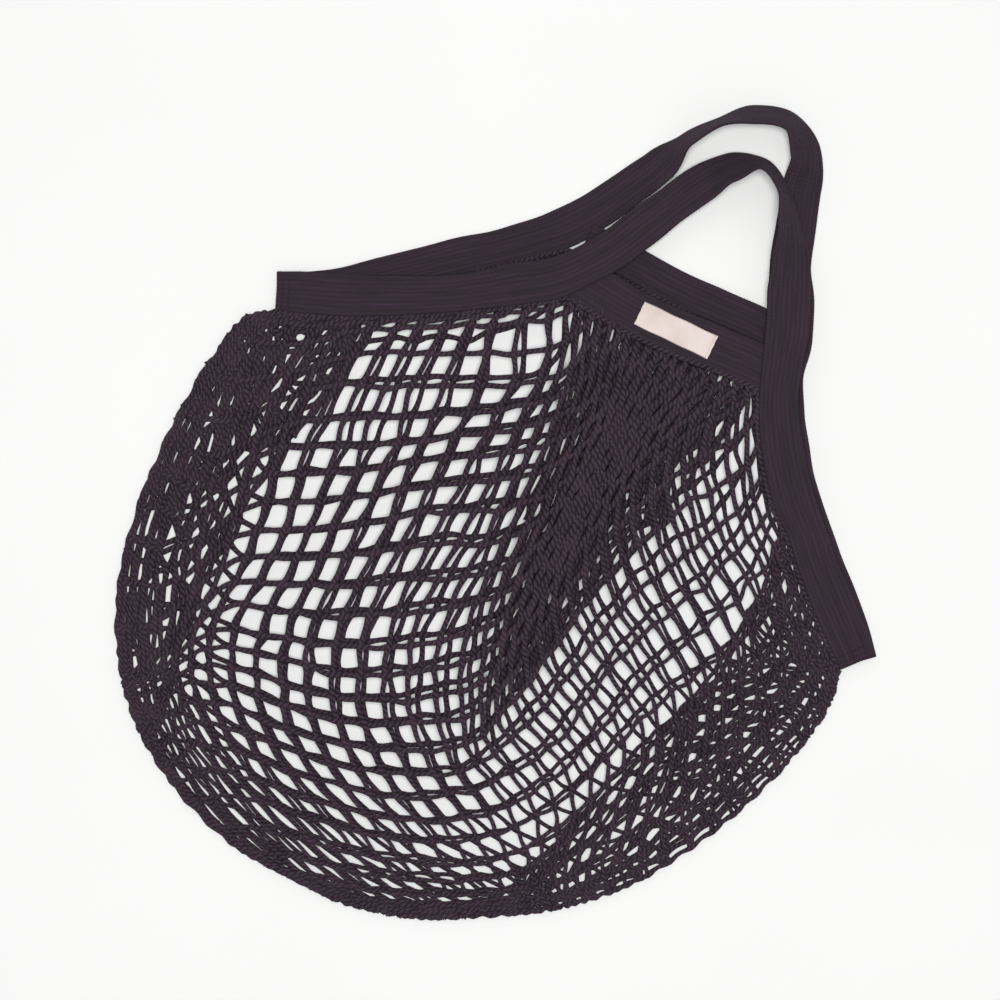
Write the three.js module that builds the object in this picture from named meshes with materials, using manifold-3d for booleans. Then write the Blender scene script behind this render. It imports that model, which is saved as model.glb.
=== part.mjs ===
// String shopping bag, lying flat on its back.
// A net pouch of two layers, edged by two ribbed knit bands that rise as the handle loops, with a
// short band across the front and the back of the mouth and a small woven label on the front one.
// Millimetres, +Z up off the surface it lies on, +Y from the bottom of the bag towards the handles,
// +X across the bag. The origin is under the middle of the bag's footprint.
import * as THREE from 'three';
import Module from 'manifold-3d';
import { mergeVertices } from 'three/addons/utils/BufferGeometryUtils.js';

// Overall sizes
const NET_HALF_WIDTH = 200;      // half the width of the net as it lies
const NET_DEPTH = 275;           // from the line through the side corners down to the bottom
const MOUTH_RISE = 94;           // from the side corners up to the front mouth band's centre line
const HANDLE_RISE = 229;         // from the side corners up to the top of the back handle
const CORNER_HALF_SPAN = 192;    // half the distance between the side corners of the bands

// Knitted bands
const BAND_WIDTH = 23.5;
const BAND_THICKNESS = 2.2;
const MOUTH_BAND_WIDTH = 24;
const BACK_MOUTH_BAND_WIDTH = 19;
const BAND_EDGE_ROUND = 0.6;     // softened long edges of a band
const BAND_STEP = 9;             // length of one step along a band

// Net
const NET_THICKNESS = 2.2;
const STRAND_WIDTH = 6.5;        // a bunch of strings, as wide as it lies
const RIM_WIDTH = 6;             // selvedge of bunched string along the net's edges
const NET_CELLS = 8;             // cells up each side of the net, corner to bottom
const MOUTH_SHARE = 0.4375;      // share of those cells that end on a slope, below the mouth band
const BUNCHING_SHARE = 0.42;     // share by which the cells lie closer beside the outline
const SMALLEST_GAP = 3;          // narrower gaps stay closed

// How the layers lie over each other
const LAYER_GAP = 0.3;
const SEAM_GAP = 0.6;            // between the net's edge and the band that it is sewn to
const SEAM_OVERLAP = 0.8;        // depth to which the two layers share their seam
const NET_LOFT = 5;              // how far the middle of the front layer domes up
const MOUTH_OPENING = 6.4;       // clear height between the two mouth bands

// Label
const LABEL_LENGTH = 45;
const LABEL_WIDTH = 14.2;
const LABEL_THICKNESS = 0.8;
const LABEL_ALONG = 0.515;       // its middle, as a share of the front mouth band's length
const LABEL_ACROSS = 0.2;        // its middle, above the band's centre line
const LABEL_TURN = -3;           // degrees that it sits askew on the band

const OUTER_LEVEL = BAND_THICKNESS + LAYER_GAP;
const MOUTH_LEVEL = OUTER_LEVEL + MOUTH_OPENING;

// Outline of the net from the bottom to each side corner.
// x: share of NET_HALF_WIDTH, y: share of NET_DEPTH
const OUTLINE_RIGHT = [
  { x: -0.040, y: -0.996 },
  { x: 0.090, y: -0.988 },
  { x: 0.288, y: -0.939 },
  { x: 0.460, y: -0.860 },
  { x: 0.620, y: -0.770 },
  { x: 0.755, y: -0.656 },
  { x: 0.854, y: -0.519 },
  { x: 0.928, y: -0.364 },
  { x: 0.965, y: -0.225 },
  { x: 0.970, y: -0.127 },
];
const OUTLINE_LEFT = [
  { x: -0.040, y: -0.996 },
  { x: -0.235, y: -1.003 },
  { x: -0.460, y: -0.966 },
  { x: -0.669, y: -0.885 },
  { x: -0.830, y: -0.756 },
  { x: -0.931, y: -0.597 },
  { x: -0.982, y: -0.426 },
  { x: -1.002, y: -0.248 },
  { x: -0.996, y: -0.145 },
  { x: -0.984, y: -0.085 },
];

// Slopes of the bands, from a side corner up to the mouth.
// x: share of CORNER_HALF_SPAN, y: share of MOUTH_RISE, width: share of BAND_WIDTH
const FRONT_SLOPE_LEFT = [
  { x: -0.984, y: 0.000, width: 0.92 },
  { x: -0.895, y: 0.095, width: 1.00 },
  { x: -0.806, y: 0.190, width: 1.00 },
  { x: -0.719, y: 0.295, width: 0.95 },
  { x: -0.634, y: 0.404, width: 0.90 },
  { x: -0.551, y: 0.518, width: 0.88 },
  { x: -0.472, y: 0.645, width: 0.91 },
  { x: -0.396, y: 0.780, width: 0.98 },
  { x: -0.319, y: 0.912, width: 0.97 },
];
const FRONT_SLOPE_RIGHT = [
  { x: 1.018, y: -0.074, width: 0.92 },
  { x: 0.936, y: 0.045, width: 0.97 },
  { x: 0.854, y: 0.162, width: 0.97 },
  { x: 0.772, y: 0.284, width: 0.94 },
  { x: 0.695, y: 0.415, width: 0.90 },
  { x: 0.614, y: 0.537, width: 0.98 },
  { x: 0.542, y: 0.678, width: 1.00 },
  { x: 0.476, y: 0.833, width: 0.98 },
  { x: 0.419, y: 1.003, width: 0.90 },
];
const BACK_SLOPE_LEFT = [
  { x: -0.984, y: 0.000, width: 0.92 },
  { x: -0.893, y: 0.115, width: 0.92 },
  { x: -0.813, y: 0.263, width: 0.87 },
  { x: -0.740, y: 0.424, width: 0.84 },
  { x: -0.663, y: 0.580, width: 0.84 },
  { x: -0.589, y: 0.738, width: 0.87 },
  { x: -0.510, y: 0.890, width: 0.84 },
  { x: -0.436, y: 1.050, width: 0.86 },
  { x: -0.366, y: 1.217, width: 0.97 },
];
const BACK_SLOPE_RIGHT = [
  { x: 1.018, y: -0.074, width: 0.92 },
  { x: 0.938, y: 0.072, width: 0.98 },
  { x: 0.852, y: 0.206, width: 0.98 },
  { x: 0.767, y: 0.341, width: 0.93 },
  { x: 0.685, y: 0.485, width: 0.90 },
  { x: 0.599, y: 0.617, width: 1.00 },
  { x: 0.526, y: 0.778, width: 1.00 },
  { x: 0.460, y: 0.954, width: 0.95 },
  { x: 0.404, y: 1.141, width: 0.90 },
];

// Handle loops above the slopes, left to right.
// x: share of CORNER_HALF_SPAN, y: share of the rise from MOUTH_RISE to HANDLE_RISE,
// width: share of BAND_WIDTH, roll: degrees that the band turns on edge,
// lift: share of the mouth's level
const FRONT_LOOP = [
  { x: -0.260, y: 0.054, width: 0.95, roll: 0, lift: 1.00 },
  { x: -0.212, y: 0.180, width: 0.95, roll: 0, lift: 1.00 },
  { x: -0.176, y: 0.313, width: 0.96, roll: 0, lift: 0.80 },
  { x: -0.139, y: 0.446, width: 0.92, roll: -6, lift: 0.62 },
  { x: -0.100, y: 0.578, width: 0.97, roll: -16, lift: 0.52 },
  { x: -0.051, y: 0.703, width: 1.00, roll: -42, lift: 0.40 },
  { x: 0.026, y: 0.789, width: 1.00, roll: -70, lift: 0.34 },
  { x: 0.110, y: 0.745, width: 1.00, roll: -72, lift: 0.42 },
  { x: 0.183, y: 0.630, width: 1.00, roll: -55, lift: 0.52 },
  { x: 0.240, y: 0.513, width: 1.00, roll: -24, lift: 0.60 },
  { x: 0.289, y: 0.387, width: 1.06, roll: -8, lift: 0.80 },
  { x: 0.337, y: 0.262, width: 1.04, roll: 0, lift: 1.00 },
  { x: 0.377, y: 0.130, width: 0.95, roll: 0, lift: 1.00 },
];
const BACK_LOOP = [
  { x: -0.313, y: 0.284, width: 0.94, roll: 0, lift: 0 },
  { x: -0.270, y: 0.424, width: 0.88, roll: 0, lift: 0 },
  { x: -0.228, y: 0.564, width: 0.94, roll: -26, lift: 0 },
  { x: -0.198, y: 0.713, width: 1.00, roll: -68, lift: 0 },
  { x: -0.144, y: 0.844, width: 1.00, roll: -76, lift: 0 },
  { x: -0.067, y: 0.950, width: 1.00, roll: -60, lift: 0 },
  { x: 0.033, y: 1.000, width: 1.00, roll: -58, lift: 0 },
  { x: 0.120, y: 0.920, width: 0.96, roll: -34, lift: 0 },
  { x: 0.165, y: 0.781, width: 0.92, roll: 0, lift: 0 },
  { x: 0.207, y: 0.640, width: 0.96, roll: 0, lift: 0 },
  { x: 0.250, y: 0.499, width: 1.00, roll: 0, lift: 0 },
  { x: 0.309, y: 0.372, width: 1.08, roll: 0, lift: 0 },
  { x: 0.364, y: 0.241, width: 1.00, roll: 0, lift: 0 },
];

// How the mouth bands run between their ends, which lie on the handle bands' centre lines.
// along: share of the way between the ends, front and back: how far each band lies below the
// straight line, as a share of MOUTH_RISE, held: share of the ends' level that is left where the
// back band sinks on to the surface
const MOUTH_SAG = [
  { along: 0.00, front: 0.000, back: 0.000, held: 1.0 },
  { along: 0.20, front: 0.020, back: 0.000, held: 1.0 },
  { along: 0.33, front: 0.034, back: 0.006, held: 0.6 },
  { along: 0.46, front: 0.036, back: 0.015, held: 0.0 },
  { along: 0.58, front: 0.026, back: 0.014, held: 0.0 },
  { along: 0.70, front: 0.012, back: 0.006, held: 0.6 },
  { along: 0.84, front: 0.000, back: -0.004, held: 1.0 },
  { along: 1.00, front: 0.000, back: 0.000, held: 1.0 },
];

// Where the mouth bands' ends lie, as shares of the handle bands' length
const FRONT_MOUTH_SHARES = { left: 0.284, right: 0.711 };
const BACK_MOUTH_SHARES = { left: 0.265, right: 0.700 };

// Folds of the front layer: soft ridges that run down from the mouth.
// x0, x1: share of NET_HALF_WIDTH at the mouth and at the lower end, y1: lower end as a share of
// NET_DEPTH, width: share of NET_HALF_WIDTH, height: share of NET_LOFT
const FOLDS = [
  { x0: 0.10, x1: 0.06, y1: -0.86, width: 0.100, height: 0.75 },
  { x0: -0.12, x1: -0.34, y1: -0.62, width: 0.085, height: 0.45 },
  { x0: 0.28, x1: 0.46, y1: -0.60, width: 0.085, height: 0.45 },
  { x0: -0.30, x1: -0.72, y1: -0.44, width: 0.075, height: 0.35 },
];

const wasm = await Module();
wasm.setup();

const smooth = (value) => {
  const t = Math.min(Math.max(value, 0), 1);
  return t * t * (3 - 2 * t);
};

// A table's rows as a smooth curve; read by share of its length.
class TableCurve {
  constructor(rows) {
    this.names = Object.keys(rows[0]);
    const points = rows.map((row) => new THREE.Vector3(row.x, row.y, 0));
    this.curve = new THREE.CatmullRomCurve3(points, false, 'centripetal');
    this.curve.arcLengthDivisions = 40 * rows.length;
    this.rows = rows;
  }

  length() {
    return this.curve.getLength();
  }

  // The named columns at share u of the length, worked out between the rows.
  at(u) {
    const t = this.curve.getUtoTmapping(Math.min(Math.max(u, 0), 1));
    const spot = this.curve.getPoint(t);
    const place = t * (this.rows.length - 1);
    const k = Math.min(Math.floor(place), this.rows.length - 2);
    const f = smooth(place - k);
    const row = {};
    for (const name of this.names) {
      row[name] = this.rows[k][name] * (1 - f) + this.rows[k + 1][name] * f;
    }
    row.x = spot.x;
    row.y = spot.y;
    return row;
  }
}

// A band's whole run in millimetres: left slope, loop, right slope.
// The level is that of the band's lower edge above the surface.
function handleRun(slopeLeft, loop, slopeRight, cornerLevel, mouthLevel) {
  const slope = (row, k, n) => ({
    x: row.x * CORNER_HALF_SPAN,
    y: row.y * MOUTH_RISE,
    width: row.width * BAND_WIDTH,
    roll: 0,
    level: cornerLevel + (mouthLevel - cornerLevel) * smooth(k / (n - 2)),
  });
  const rise = HANDLE_RISE - MOUTH_RISE;
  const upper = (row) => ({
    x: row.x * CORNER_HALF_SPAN,
    y: MOUTH_RISE + row.y * rise,
    width: row.width * BAND_WIDTH,
    roll: THREE.MathUtils.degToRad(row.roll),
    level: cornerLevel + (mouthLevel - cornerLevel) * row.lift,
  });
  const left = slopeLeft.map((row, k) => slope(row, k, slopeLeft.length));
  const right = slopeRight.map((row, k) => slope(row, k, slopeRight.length)).reverse();
  return new TableCurve([...left, ...loop.map(upper), ...right]);
}

// Stations along a run: the centre with its unit vectors across the band and through it.
function stations(run, from, to, step) {
  const count = Math.max(3, Math.round((run.length() * (to - from)) / step));
  const list = [];
  for (let k = 0; k <= count; k += 1) {
    const u = from + ((to - from) * k) / count;
    const row = run.at(u);
    const before = run.at(u - 0.002);
    const after = run.at(u + 0.002);
    const ahead = new THREE.Vector3(after.x - before.x, after.y - before.y, 0).normalize();
    const aside = new THREE.Vector3(-ahead.y, ahead.x, 0);
    const up = new THREE.Vector3(0, 0, 1);
    const across = aside.clone().multiplyScalar(Math.cos(row.roll));
    across.addScaledVector(up, Math.sin(row.roll));
    const through = aside.clone().multiplyScalar(-Math.sin(row.roll));
    through.addScaledVector(up, Math.cos(row.roll));
    const high = 0.5 * (row.width * Math.abs(Math.sin(row.roll))
      + BAND_THICKNESS * Math.cos(row.roll));
    const centre = new THREE.Vector3(row.x, row.y, row.level + high);
    list.push({ ...row, centre, across, through, aside });
  }
  return list;
}

// Closed geometry from rings of equal point counts, with flat ends.
function loft(rings) {
  const size = rings[0].length;
  const positions = rings.flat().flatMap((point) => [point.x, point.y, point.z]);
  const index = [];
  for (let k = 0; k < rings.length - 1; k += 1) {
    for (let i = 0; i < size; i += 1) {
      const a = k * size + i;
      const b = k * size + ((i + 1) % size);
      index.push(a, b, b + size, a, b + size, a + size);
    }
  }
  const last = (rings.length - 1) * size;
  for (let i = 1; i < size - 1; i += 1) {
    index.push(0, i + 1, i);
    index.push(last, last + i, last + i + 1);
  }
  const geometry = new THREE.BufferGeometry();
  geometry.setAttribute('position', new THREE.Float32BufferAttribute(positions, 3));
  geometry.setIndex(index);
  return geometry;
}

// A flat section with softened long edges, swept along the stations.
function bandGeometry(list) {
  const rings = list.map((spot) => {
    const w = spot.width / 2;
    const t = BAND_THICKNESS / 2;
    const r = BAND_EDGE_ROUND;
    const section = [
      [w, -t + r], [w, t - r], [w - r, t], [-w + r, t],
      [-w, t - r], [-w, -t + r], [-w + r, -t], [w - r, -t],
    ];
    return section.map(([a, b]) => spot.centre.clone()
      .addScaledVector(spot.across, a).addScaledVector(spot.through, b));
  });
  return loft(rings);
}

const frontRun = handleRun(
  FRONT_SLOPE_LEFT, FRONT_LOOP, FRONT_SLOPE_RIGHT, OUTER_LEVEL, MOUTH_LEVEL + OUTER_LEVEL,
);
const backRun = handleRun(BACK_SLOPE_LEFT, BACK_LOOP, BACK_SLOPE_RIGHT, 0, 0);

// A mouth band runs between two spots of a handle band, with its ends on the centre line.
function mouthRun(run, shares, sag, { width, level, middle }) {
  const a = run.at(shares.left);
  const b = run.at(shares.right);
  const rows = MOUTH_SAG.map((row) => ({
    x: a.x + (b.x - a.x) * row.along,
    y: a.y + (b.y - a.y) * row.along - row[sag] * MOUTH_RISE,
    width,
    roll: 0,
    level: middle + (level - middle) * row.held,
  }));
  return new TableCurve(rows);
}

const frontMouth = mouthRun(frontRun, FRONT_MOUTH_SHARES, 'front', {
  width: MOUTH_BAND_WIDTH, level: MOUTH_LEVEL, middle: MOUTH_LEVEL,
});
const backMouth = mouthRun(backRun, BACK_MOUTH_SHARES, 'back', {
  width: BACK_MOUTH_BAND_WIDTH, level: OUTER_LEVEL, middle: 0,
});

// The edge of a band in plan, on its net side, with the seam's gap. The net that is sewn to it
// lies at the layer's own level beside the corners and reaches the mouth's level higher up.
function netEdge(run, from, to, { level, mouthLevel }) {
  const lowest = run.rows[0].level;
  const highest = Math.max(...run.rows.map((row) => row.level));
  const climb = (height) => (highest > lowest ? (height - lowest) / (highest - lowest) : 1);
  return stations(run, from, to, BAND_STEP).map((spot) => {
    const reach = 0.5 * spot.width * Math.cos(spot.roll) + SEAM_GAP;
    return new THREE.Vector3(
      spot.centre.x - spot.aside.x * reach,
      spot.centre.y - spot.aside.y * reach,
      level + (mouthLevel - level) * climb(spot.level),
    );
  });
}

// Where two plan polylines cross, or come nearest to crossing: the share along each of them.
function crossing(p, q) {
  let best = { over: Infinity, first: 0, second: 0 };
  for (let i = 0; i < p.length - 1; i += 1) {
    for (let j = 0; j < q.length - 1; j += 1) {
      const d1 = p[i + 1].clone().sub(p[i]);
      const d2 = q[j + 1].clone().sub(q[j]);
      const det = d1.x * d2.y - d1.y * d2.x;
      const gap = q[j].clone().sub(p[i]);
      const a = (gap.x * d2.y - gap.y * d2.x) / det;
      const b = (gap.x * d1.y - gap.y * d1.x) / det;
      const nearA = Math.min(Math.max(a, 0), 1);
      const nearB = Math.min(Math.max(b, 0), 1);
      const over = Math.abs(a - nearA) * Math.hypot(d1.x, d1.y)
        + Math.abs(b - nearB) * Math.hypot(d2.x, d2.y);
      if (over < best.over) {
        const first = (i + nearA) / (p.length - 1);
        const second = (j + nearB) / (q.length - 1);
        best = { over, first, second };
      }
    }
  }
  return best;
}

const polyline = (points) => {
  const curve = new THREE.CurvePath();
  for (let k = 0; k < points.length - 1; k += 1) {
    curve.add(new THREE.LineCurve3(points[k], points[k + 1]));
  }
  return curve;
};

// The part of a polyline between two shares of its point count.
function cut(points, from, to) {
  const at = (share) => {
    const place = share * (points.length - 1);
    const k = Math.min(Math.floor(place), points.length - 2);
    return points[k].clone().lerp(points[k + 1], place - k);
  };
  const list = [at(from)];
  for (let k = 0; k < points.length; k += 1) {
    const share = k / (points.length - 1);
    if (share > from + 0.01 && share < to - 0.01) list.push(points[k].clone());
  }
  list.push(at(to));
  return list;
}

// One layer of the net: a patch between the outline's two halves and the two slopes, whose rows
// and columns of cells run on up to the handle's top and are cut off by the mouth band.
class NetLayer {
  constructor({ run, mouth, level, mouthLevel, loft, inset }) {
    this.loft = loft;
    const left = netEdge(run, 0, 0.5, { level, mouthLevel });
    const right = netEdge(run, 0.5, 1, { level, mouthLevel }).reverse();
    const lower = netEdge(mouth, 0, 1, { level: mouthLevel, mouthLevel });
    const atLeft = crossing(left, lower);
    const atRight = crossing(right, lower);
    this.slopeLeft = polyline(cut(left, 0, atLeft.first));
    this.slopeRight = polyline(cut(right, 0, atRight.first));
    this.mouth = polyline(cut(lower, atLeft.second, atRight.second));
    const top = left[left.length - 1].clone().add(right[right.length - 1]).multiplyScalar(0.5);
    this.upperLeft = polyline([...cut(left, atLeft.first, 0.9), top]);
    this.upperRight = polyline([...cut(right, atRight.first, 0.9), top]);
    const scale = (row) => new THREE.Vector3(
      row.x * (NET_HALF_WIDTH - inset), row.y * (NET_DEPTH - inset), level,
    );
    const outline = (rows, corner) => {
      const points = [...rows.map(scale), corner];
      return new THREE.CatmullRomCurve3(points, false, 'centripetal');
    };
    this.outlineRight = outline(OUTLINE_RIGHT, right[0]);
    this.outlineLeft = outline(OUTLINE_LEFT, left[0]);
    this.share = MOUTH_SHARE;
  }

  static slopeOrAbove(slope, above, t, share) {
    if (t <= share) return slope.getPointAt(Math.min(t / share, 1));
    return above.getPointAt(Math.min((t - share) / (1 - share), 1));
  }

  // Blend of the four edges at s, t from 0 to 1.
  patch(s, t) {
    const bottom = this.outlineRight.getPointAt(s);
    const side = this.outlineLeft.getPointAt(t);
    const top = NetLayer.slopeOrAbove(this.slopeLeft, this.upperLeft, s, this.share);
    const far = NetLayer.slopeOrAbove(this.slopeRight, this.upperRight, t, this.share);
    const spot = bottom.multiplyScalar(1 - t).addScaledVector(top, t);
    spot.addScaledVector(side, 1 - s).addScaledVector(far, s);
    spot.addScaledVector(this.outlineRight.getPointAt(0), -(1 - s) * (1 - t));
    spot.addScaledVector(this.outlineRight.getPointAt(1), -s * (1 - t));
    spot.addScaledVector(this.outlineLeft.getPointAt(1), -(1 - s) * t);
    spot.addScaledVector(this.upperLeft.getPointAt(1), -s * t);
    return spot;
  }

  // The same, drawn on to the mouth band's lower edge where the cells end.
  flat(s, t) {
    const spot = this.patch(s, t);
    const aside = Math.min(Math.max((s - t) / (1 - this.share), -1), 1);
    const near = (s + t) / (1 + this.share);
    const m = (1 + aside) / 2;
    const target = this.mouth.getPointAt(m);
    const reached = this.patch(
      this.share + (1 - this.share) * m, this.share + (1 - this.share) * (1 - m),
    );
    const pull = smooth((near - 0.45) / 0.55)
      * smooth((1.25 - Math.abs((s - t) / (1 - this.share))) / 0.3);
    return spot.addScaledVector(target.sub(reached), pull);
  }

  // Cell coordinates to the layer's surface: cells lie closer beside the outline.
  at(i, j) {
    const bunch = (k) => {
      const u = k / NET_CELLS;
      const left = Math.max(1 - u / this.share, 0);
      return u - BUNCHING_SHARE * u * left * left;
    };
    const s = bunch(i);
    const t = bunch(j);
    const spot = this.flat(s, t);
    spot.z += this.swell(spot, s, t);
    return spot;
  }

  // Height that the dome and its soft ridges add, fading out along all the edges.
  swell(spot, s, t) {
    if (this.loft === 0) return 0;
    const y = spot.y / NET_DEPTH;
    const fade = smooth(s / 0.25) * smooth(t / 0.25) * smooth((1 - s) / 0.2)
      * smooth((1 - t) / 0.2) * smooth((1 + this.share - s - t) / 0.16);
    let height = this.loft;
    for (const { x0, x1, y1, width, height: share } of FOLDS) {
      const along = (MOUTH_RISE / NET_DEPTH - y) / (MOUTH_RISE / NET_DEPTH - y1);
      const centre = (x0 + (x1 - x0) * along) * NET_HALF_WIDTH;
      const off = (spot.x - centre) / (width * NET_HALF_WIDTH);
      height += share * this.loft * Math.exp(-off * off) * smooth((1.1 - along) / 0.4);
    }
    return height * fade;
  }
}

// Outer edge of a layer in cell coordinates, once round.
function layerContour(layer) {
  const perCell = 4;
  const n = NET_CELLS;
  const m = MOUTH_SHARE * NET_CELLS;
  const list = [];
  const walk = (from, to, count) => {
    for (let k = 0; k < count; k += 1) {
      const f = k / count;
      list.push(layer.at(from[0] + (to[0] - from[0]) * f, from[1] + (to[1] - from[1]) * f));
    }
  };
  walk([0, 0], [n, 0], perCell * n);
  walk([n, 0], [n, m], Math.ceil(perCell * m));
  walk([n, m], [m, n], Math.ceil(perCell * (n - m)));
  walk([m, n], [0, n], Math.ceil(perCell * m));
  walk([0, n], [0, 0], perCell * n);
  return list;
}

// Gaps between the strands, each a rounded polygon in cell coordinates.
function layerGaps(layer) {
  const n = NET_CELLS;
  const top = NET_CELLS * (1 + MOUTH_SHARE);
  const gaps = [];
  for (let i = 0; i < n; i += 1) {
    for (let j = 0; j < n; j += 1) {
      if (i + j + 1 >= top) continue;
      const room = Math.min(1, (top - i - j) / 2);
      const middle = layer.at(i + room / 2, j + room / 2);
      const alongI = layer.at(i + room / 2 + 0.1, j + room / 2).sub(middle);
      const alongJ = layer.at(i + room / 2, j + room / 2 + 0.1).sub(middle);
      const area = Math.abs(alongI.x * alongJ.y - alongI.y * alongJ.x);
      const insetI = (width) => (0.1 * width * alongJ.length()) / area;
      const insetJ = (width) => (0.1 * width * alongI.length()) / area;
      const half = STRAND_WIDTH / 2;
      const i0 = insetI(i === 0 ? RIM_WIDTH : half);
      const i1 = 1 - insetI(i === n - 1 ? RIM_WIDTH : half);
      const j0 = insetJ(j === 0 ? RIM_WIDTH : half);
      const j1 = 1 - insetJ(j === n - 1 ? RIM_WIDTH : half);
      const open = Math.min(
        (i1 - i0) / insetI(1), (j1 - j0) / insetJ(1),
      );
      if (open < SMALLEST_GAP) continue;
      const rim = Math.max(insetI(RIM_WIDTH), insetJ(RIM_WIDTH));
      const limit = top - i - j - 2 * rim;
      const gap = gapPolygon(i0, i1, j0, j1, limit);
      if (gap.length < 3) continue;
      gaps.push(gap.map(([a, b]) => layer.at(i + a, j + b)));
    }
  }
  return gaps;
}

// A box with soft corners in one cell, cut off along the mouth where a + b reaches the limit.
function gapPolygon(i0, i1, j0, j1, limit) {
  const ci = (i0 + i1) / 2;
  const cj = (j0 + j1) / 2;
  const hi = (i1 - i0) / 2;
  const hj = (j1 - j0) / 2;
  const bow = 0.94;
  const soft = 0.72;
  const ring = [
    [0, -1], [soft, -bow], [bow, -soft], [1, 0], [bow, soft], [soft, bow],
    [0, 1], [-soft, bow], [-bow, soft], [-1, 0], [-bow, -soft], [-soft, -bow],
  ].map(([a, b]) => [ci + a * hi, cj + b * hj]);
  if (ci + hi + cj + hj <= limit) return ring;
  if (i0 + j0 >= limit - 0.2) return [];
  const kept = [];
  for (let k = 0; k < ring.length; k += 1) {
    const a = ring[k];
    const b = ring[(k + 1) % ring.length];
    const over = (p) => p[0] + p[1] - limit;
    if (over(a) <= 0) kept.push(a);
    if (over(a) * over(b) < 0) {
      const f = over(a) / (over(a) - over(b));
      kept.push([a[0] + (b[0] - a[0]) * f, a[1] + (b[1] - a[1]) * f]);
    }
  }
  return kept;
}

// A pierced sheet that follows the layer's surface, NET_THICKNESS thick. Its walls stand on every
// edge that only one of the flat faces has.
function layerGeometry(layer) {
  const contour = layerContour(layer);
  const holes = layerGaps(layer);
  const flatten = (point) => new THREE.Vector2(point.x, point.y);
  const points = [contour, ...holes].flat();
  const count = points.length;
  const faces = THREE.ShapeUtils.triangulateShape(
    contour.map(flatten),
    holes.map((hole) => hole.map(flatten)),
  ).map(([a, b, c]) => {
    const turn = (points[b].x - points[a].x) * (points[c].y - points[a].y)
      - (points[b].y - points[a].y) * (points[c].x - points[a].x);
    return turn > 0 ? [a, b, c] : [a, c, b];
  });
  const positions = [];
  for (const lift of [0, NET_THICKNESS]) {
    for (const point of points) positions.push(point.x, point.y, point.z + lift);
  }
  const index = [];
  const edges = new Map();
  for (const [a, b, c] of faces) {
    index.push(a + count, b + count, c + count, a, c, b);
    for (const [from, to] of [[a, b], [b, c], [c, a]]) {
      edges.set(from * count + to, [from, to]);
    }
  }
  for (const [from, to] of edges.values()) {
    if (edges.has(to * count + from)) continue;
    index.push(from, to, to + count, from, to + count, from + count);
  }
  const geometry = new THREE.BufferGeometry();
  geometry.setAttribute('position', new THREE.Float32BufferAttribute(positions, 3));
  geometry.setIndex(index);
  return geometry;
}

function toSolid(geometry) {
  const plain = geometry.clone();
  plain.deleteAttribute('normal');
  plain.deleteAttribute('uv');
  const merged = mergeVertices(plain, 1e-4);
  return new wasm.Manifold(new wasm.Mesh({
    numProp: 3,
    vertProperties: new Float32Array(merged.attributes.position.array),
    triVerts: new Uint32Array(merged.index.array),
  }));
}

function toGeometry(solid) {
  const mesh = solid.getMesh();
  const geometry = new THREE.BufferGeometry();
  geometry.setAttribute('position', new THREE.BufferAttribute(mesh.vertProperties, 3));
  geometry.setIndex(new THREE.BufferAttribute(mesh.triVerts, 1));
  return geometry;
}

const backLayer = new NetLayer({
  run: backRun, mouth: backMouth, level: 0, mouthLevel: 0, loft: 0, inset: 0,
});
const frontLayer = new NetLayer({
  run: frontRun,
  mouth: frontMouth,
  level: NET_THICKNESS - SEAM_OVERLAP,
  mouthLevel: MOUTH_LEVEL,
  loft: NET_LOFT,
  inset: LAYER_GAP,
});

const bag = new THREE.Group();
const shared = { side: THREE.FrontSide };

function addPiece(name, geometry, look) {
  const flat = geometry.index ? geometry : mergeVertices(geometry);
  flat.computeVertexNormals();
  const mesh = new THREE.Mesh(flat, new THREE.MeshStandardMaterial({ ...shared, ...look }));
  mesh.name = name;
  bag.add(mesh);
}

const STRING_LOOK = { color: 0x2e2429, roughness: 0.92, metalness: 0 };
const BAND_LOOK = { color: 0x3c2f3a, roughness: 0.9, metalness: 0 };
const LABEL_LOOK = { color: 0xebdcd7, roughness: 0.8, metalness: 0 };

addPiece('net_body', toGeometry(
  toSolid(layerGeometry(backLayer)).add(toSolid(layerGeometry(frontLayer))),
), STRING_LOOK);
addPiece('front_handle_band', bandGeometry(stations(frontRun, 0, 1, BAND_STEP)), BAND_LOOK);
addPiece('back_handle_band', bandGeometry(stations(backRun, 0, 1, BAND_STEP)), BAND_LOOK);
addPiece('front_mouth_band', bandGeometry(stations(frontMouth, 0, 1, BAND_STEP)), BAND_LOOK);
addPiece('back_mouth_band', bandGeometry(stations(backMouth, 0, 1, BAND_STEP)), BAND_LOOK);

const labelSpot = stations(frontMouth, LABEL_ALONG, LABEL_ALONG + 0.02, 1)[0];
const labelGeometry = new THREE.BoxGeometry(LABEL_LENGTH, LABEL_WIDTH, LABEL_THICKNESS);
labelGeometry.rotateZ(Math.atan2(labelSpot.aside.y, labelSpot.aside.x) - Math.PI / 2
  + THREE.MathUtils.degToRad(LABEL_TURN));
labelGeometry.translate(
  labelSpot.centre.x + labelSpot.aside.x * LABEL_ACROSS,
  labelSpot.centre.y + labelSpot.aside.y * LABEL_ACROSS,
  labelSpot.centre.z + (BAND_THICKNESS + LABEL_THICKNESS) / 2 + LAYER_GAP,
);
addPiece('label', labelGeometry, LABEL_LOOK);

// The origin stands under the middle of the footprint, on the surface.
const box = new THREE.Box3().setFromObject(bag);
bag.position.set(-(box.min.x + box.max.x) / 2, -(box.min.y + box.max.y) / 2, -box.min.z);
bag.updateMatrixWorld(true);

export default bag;
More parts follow.
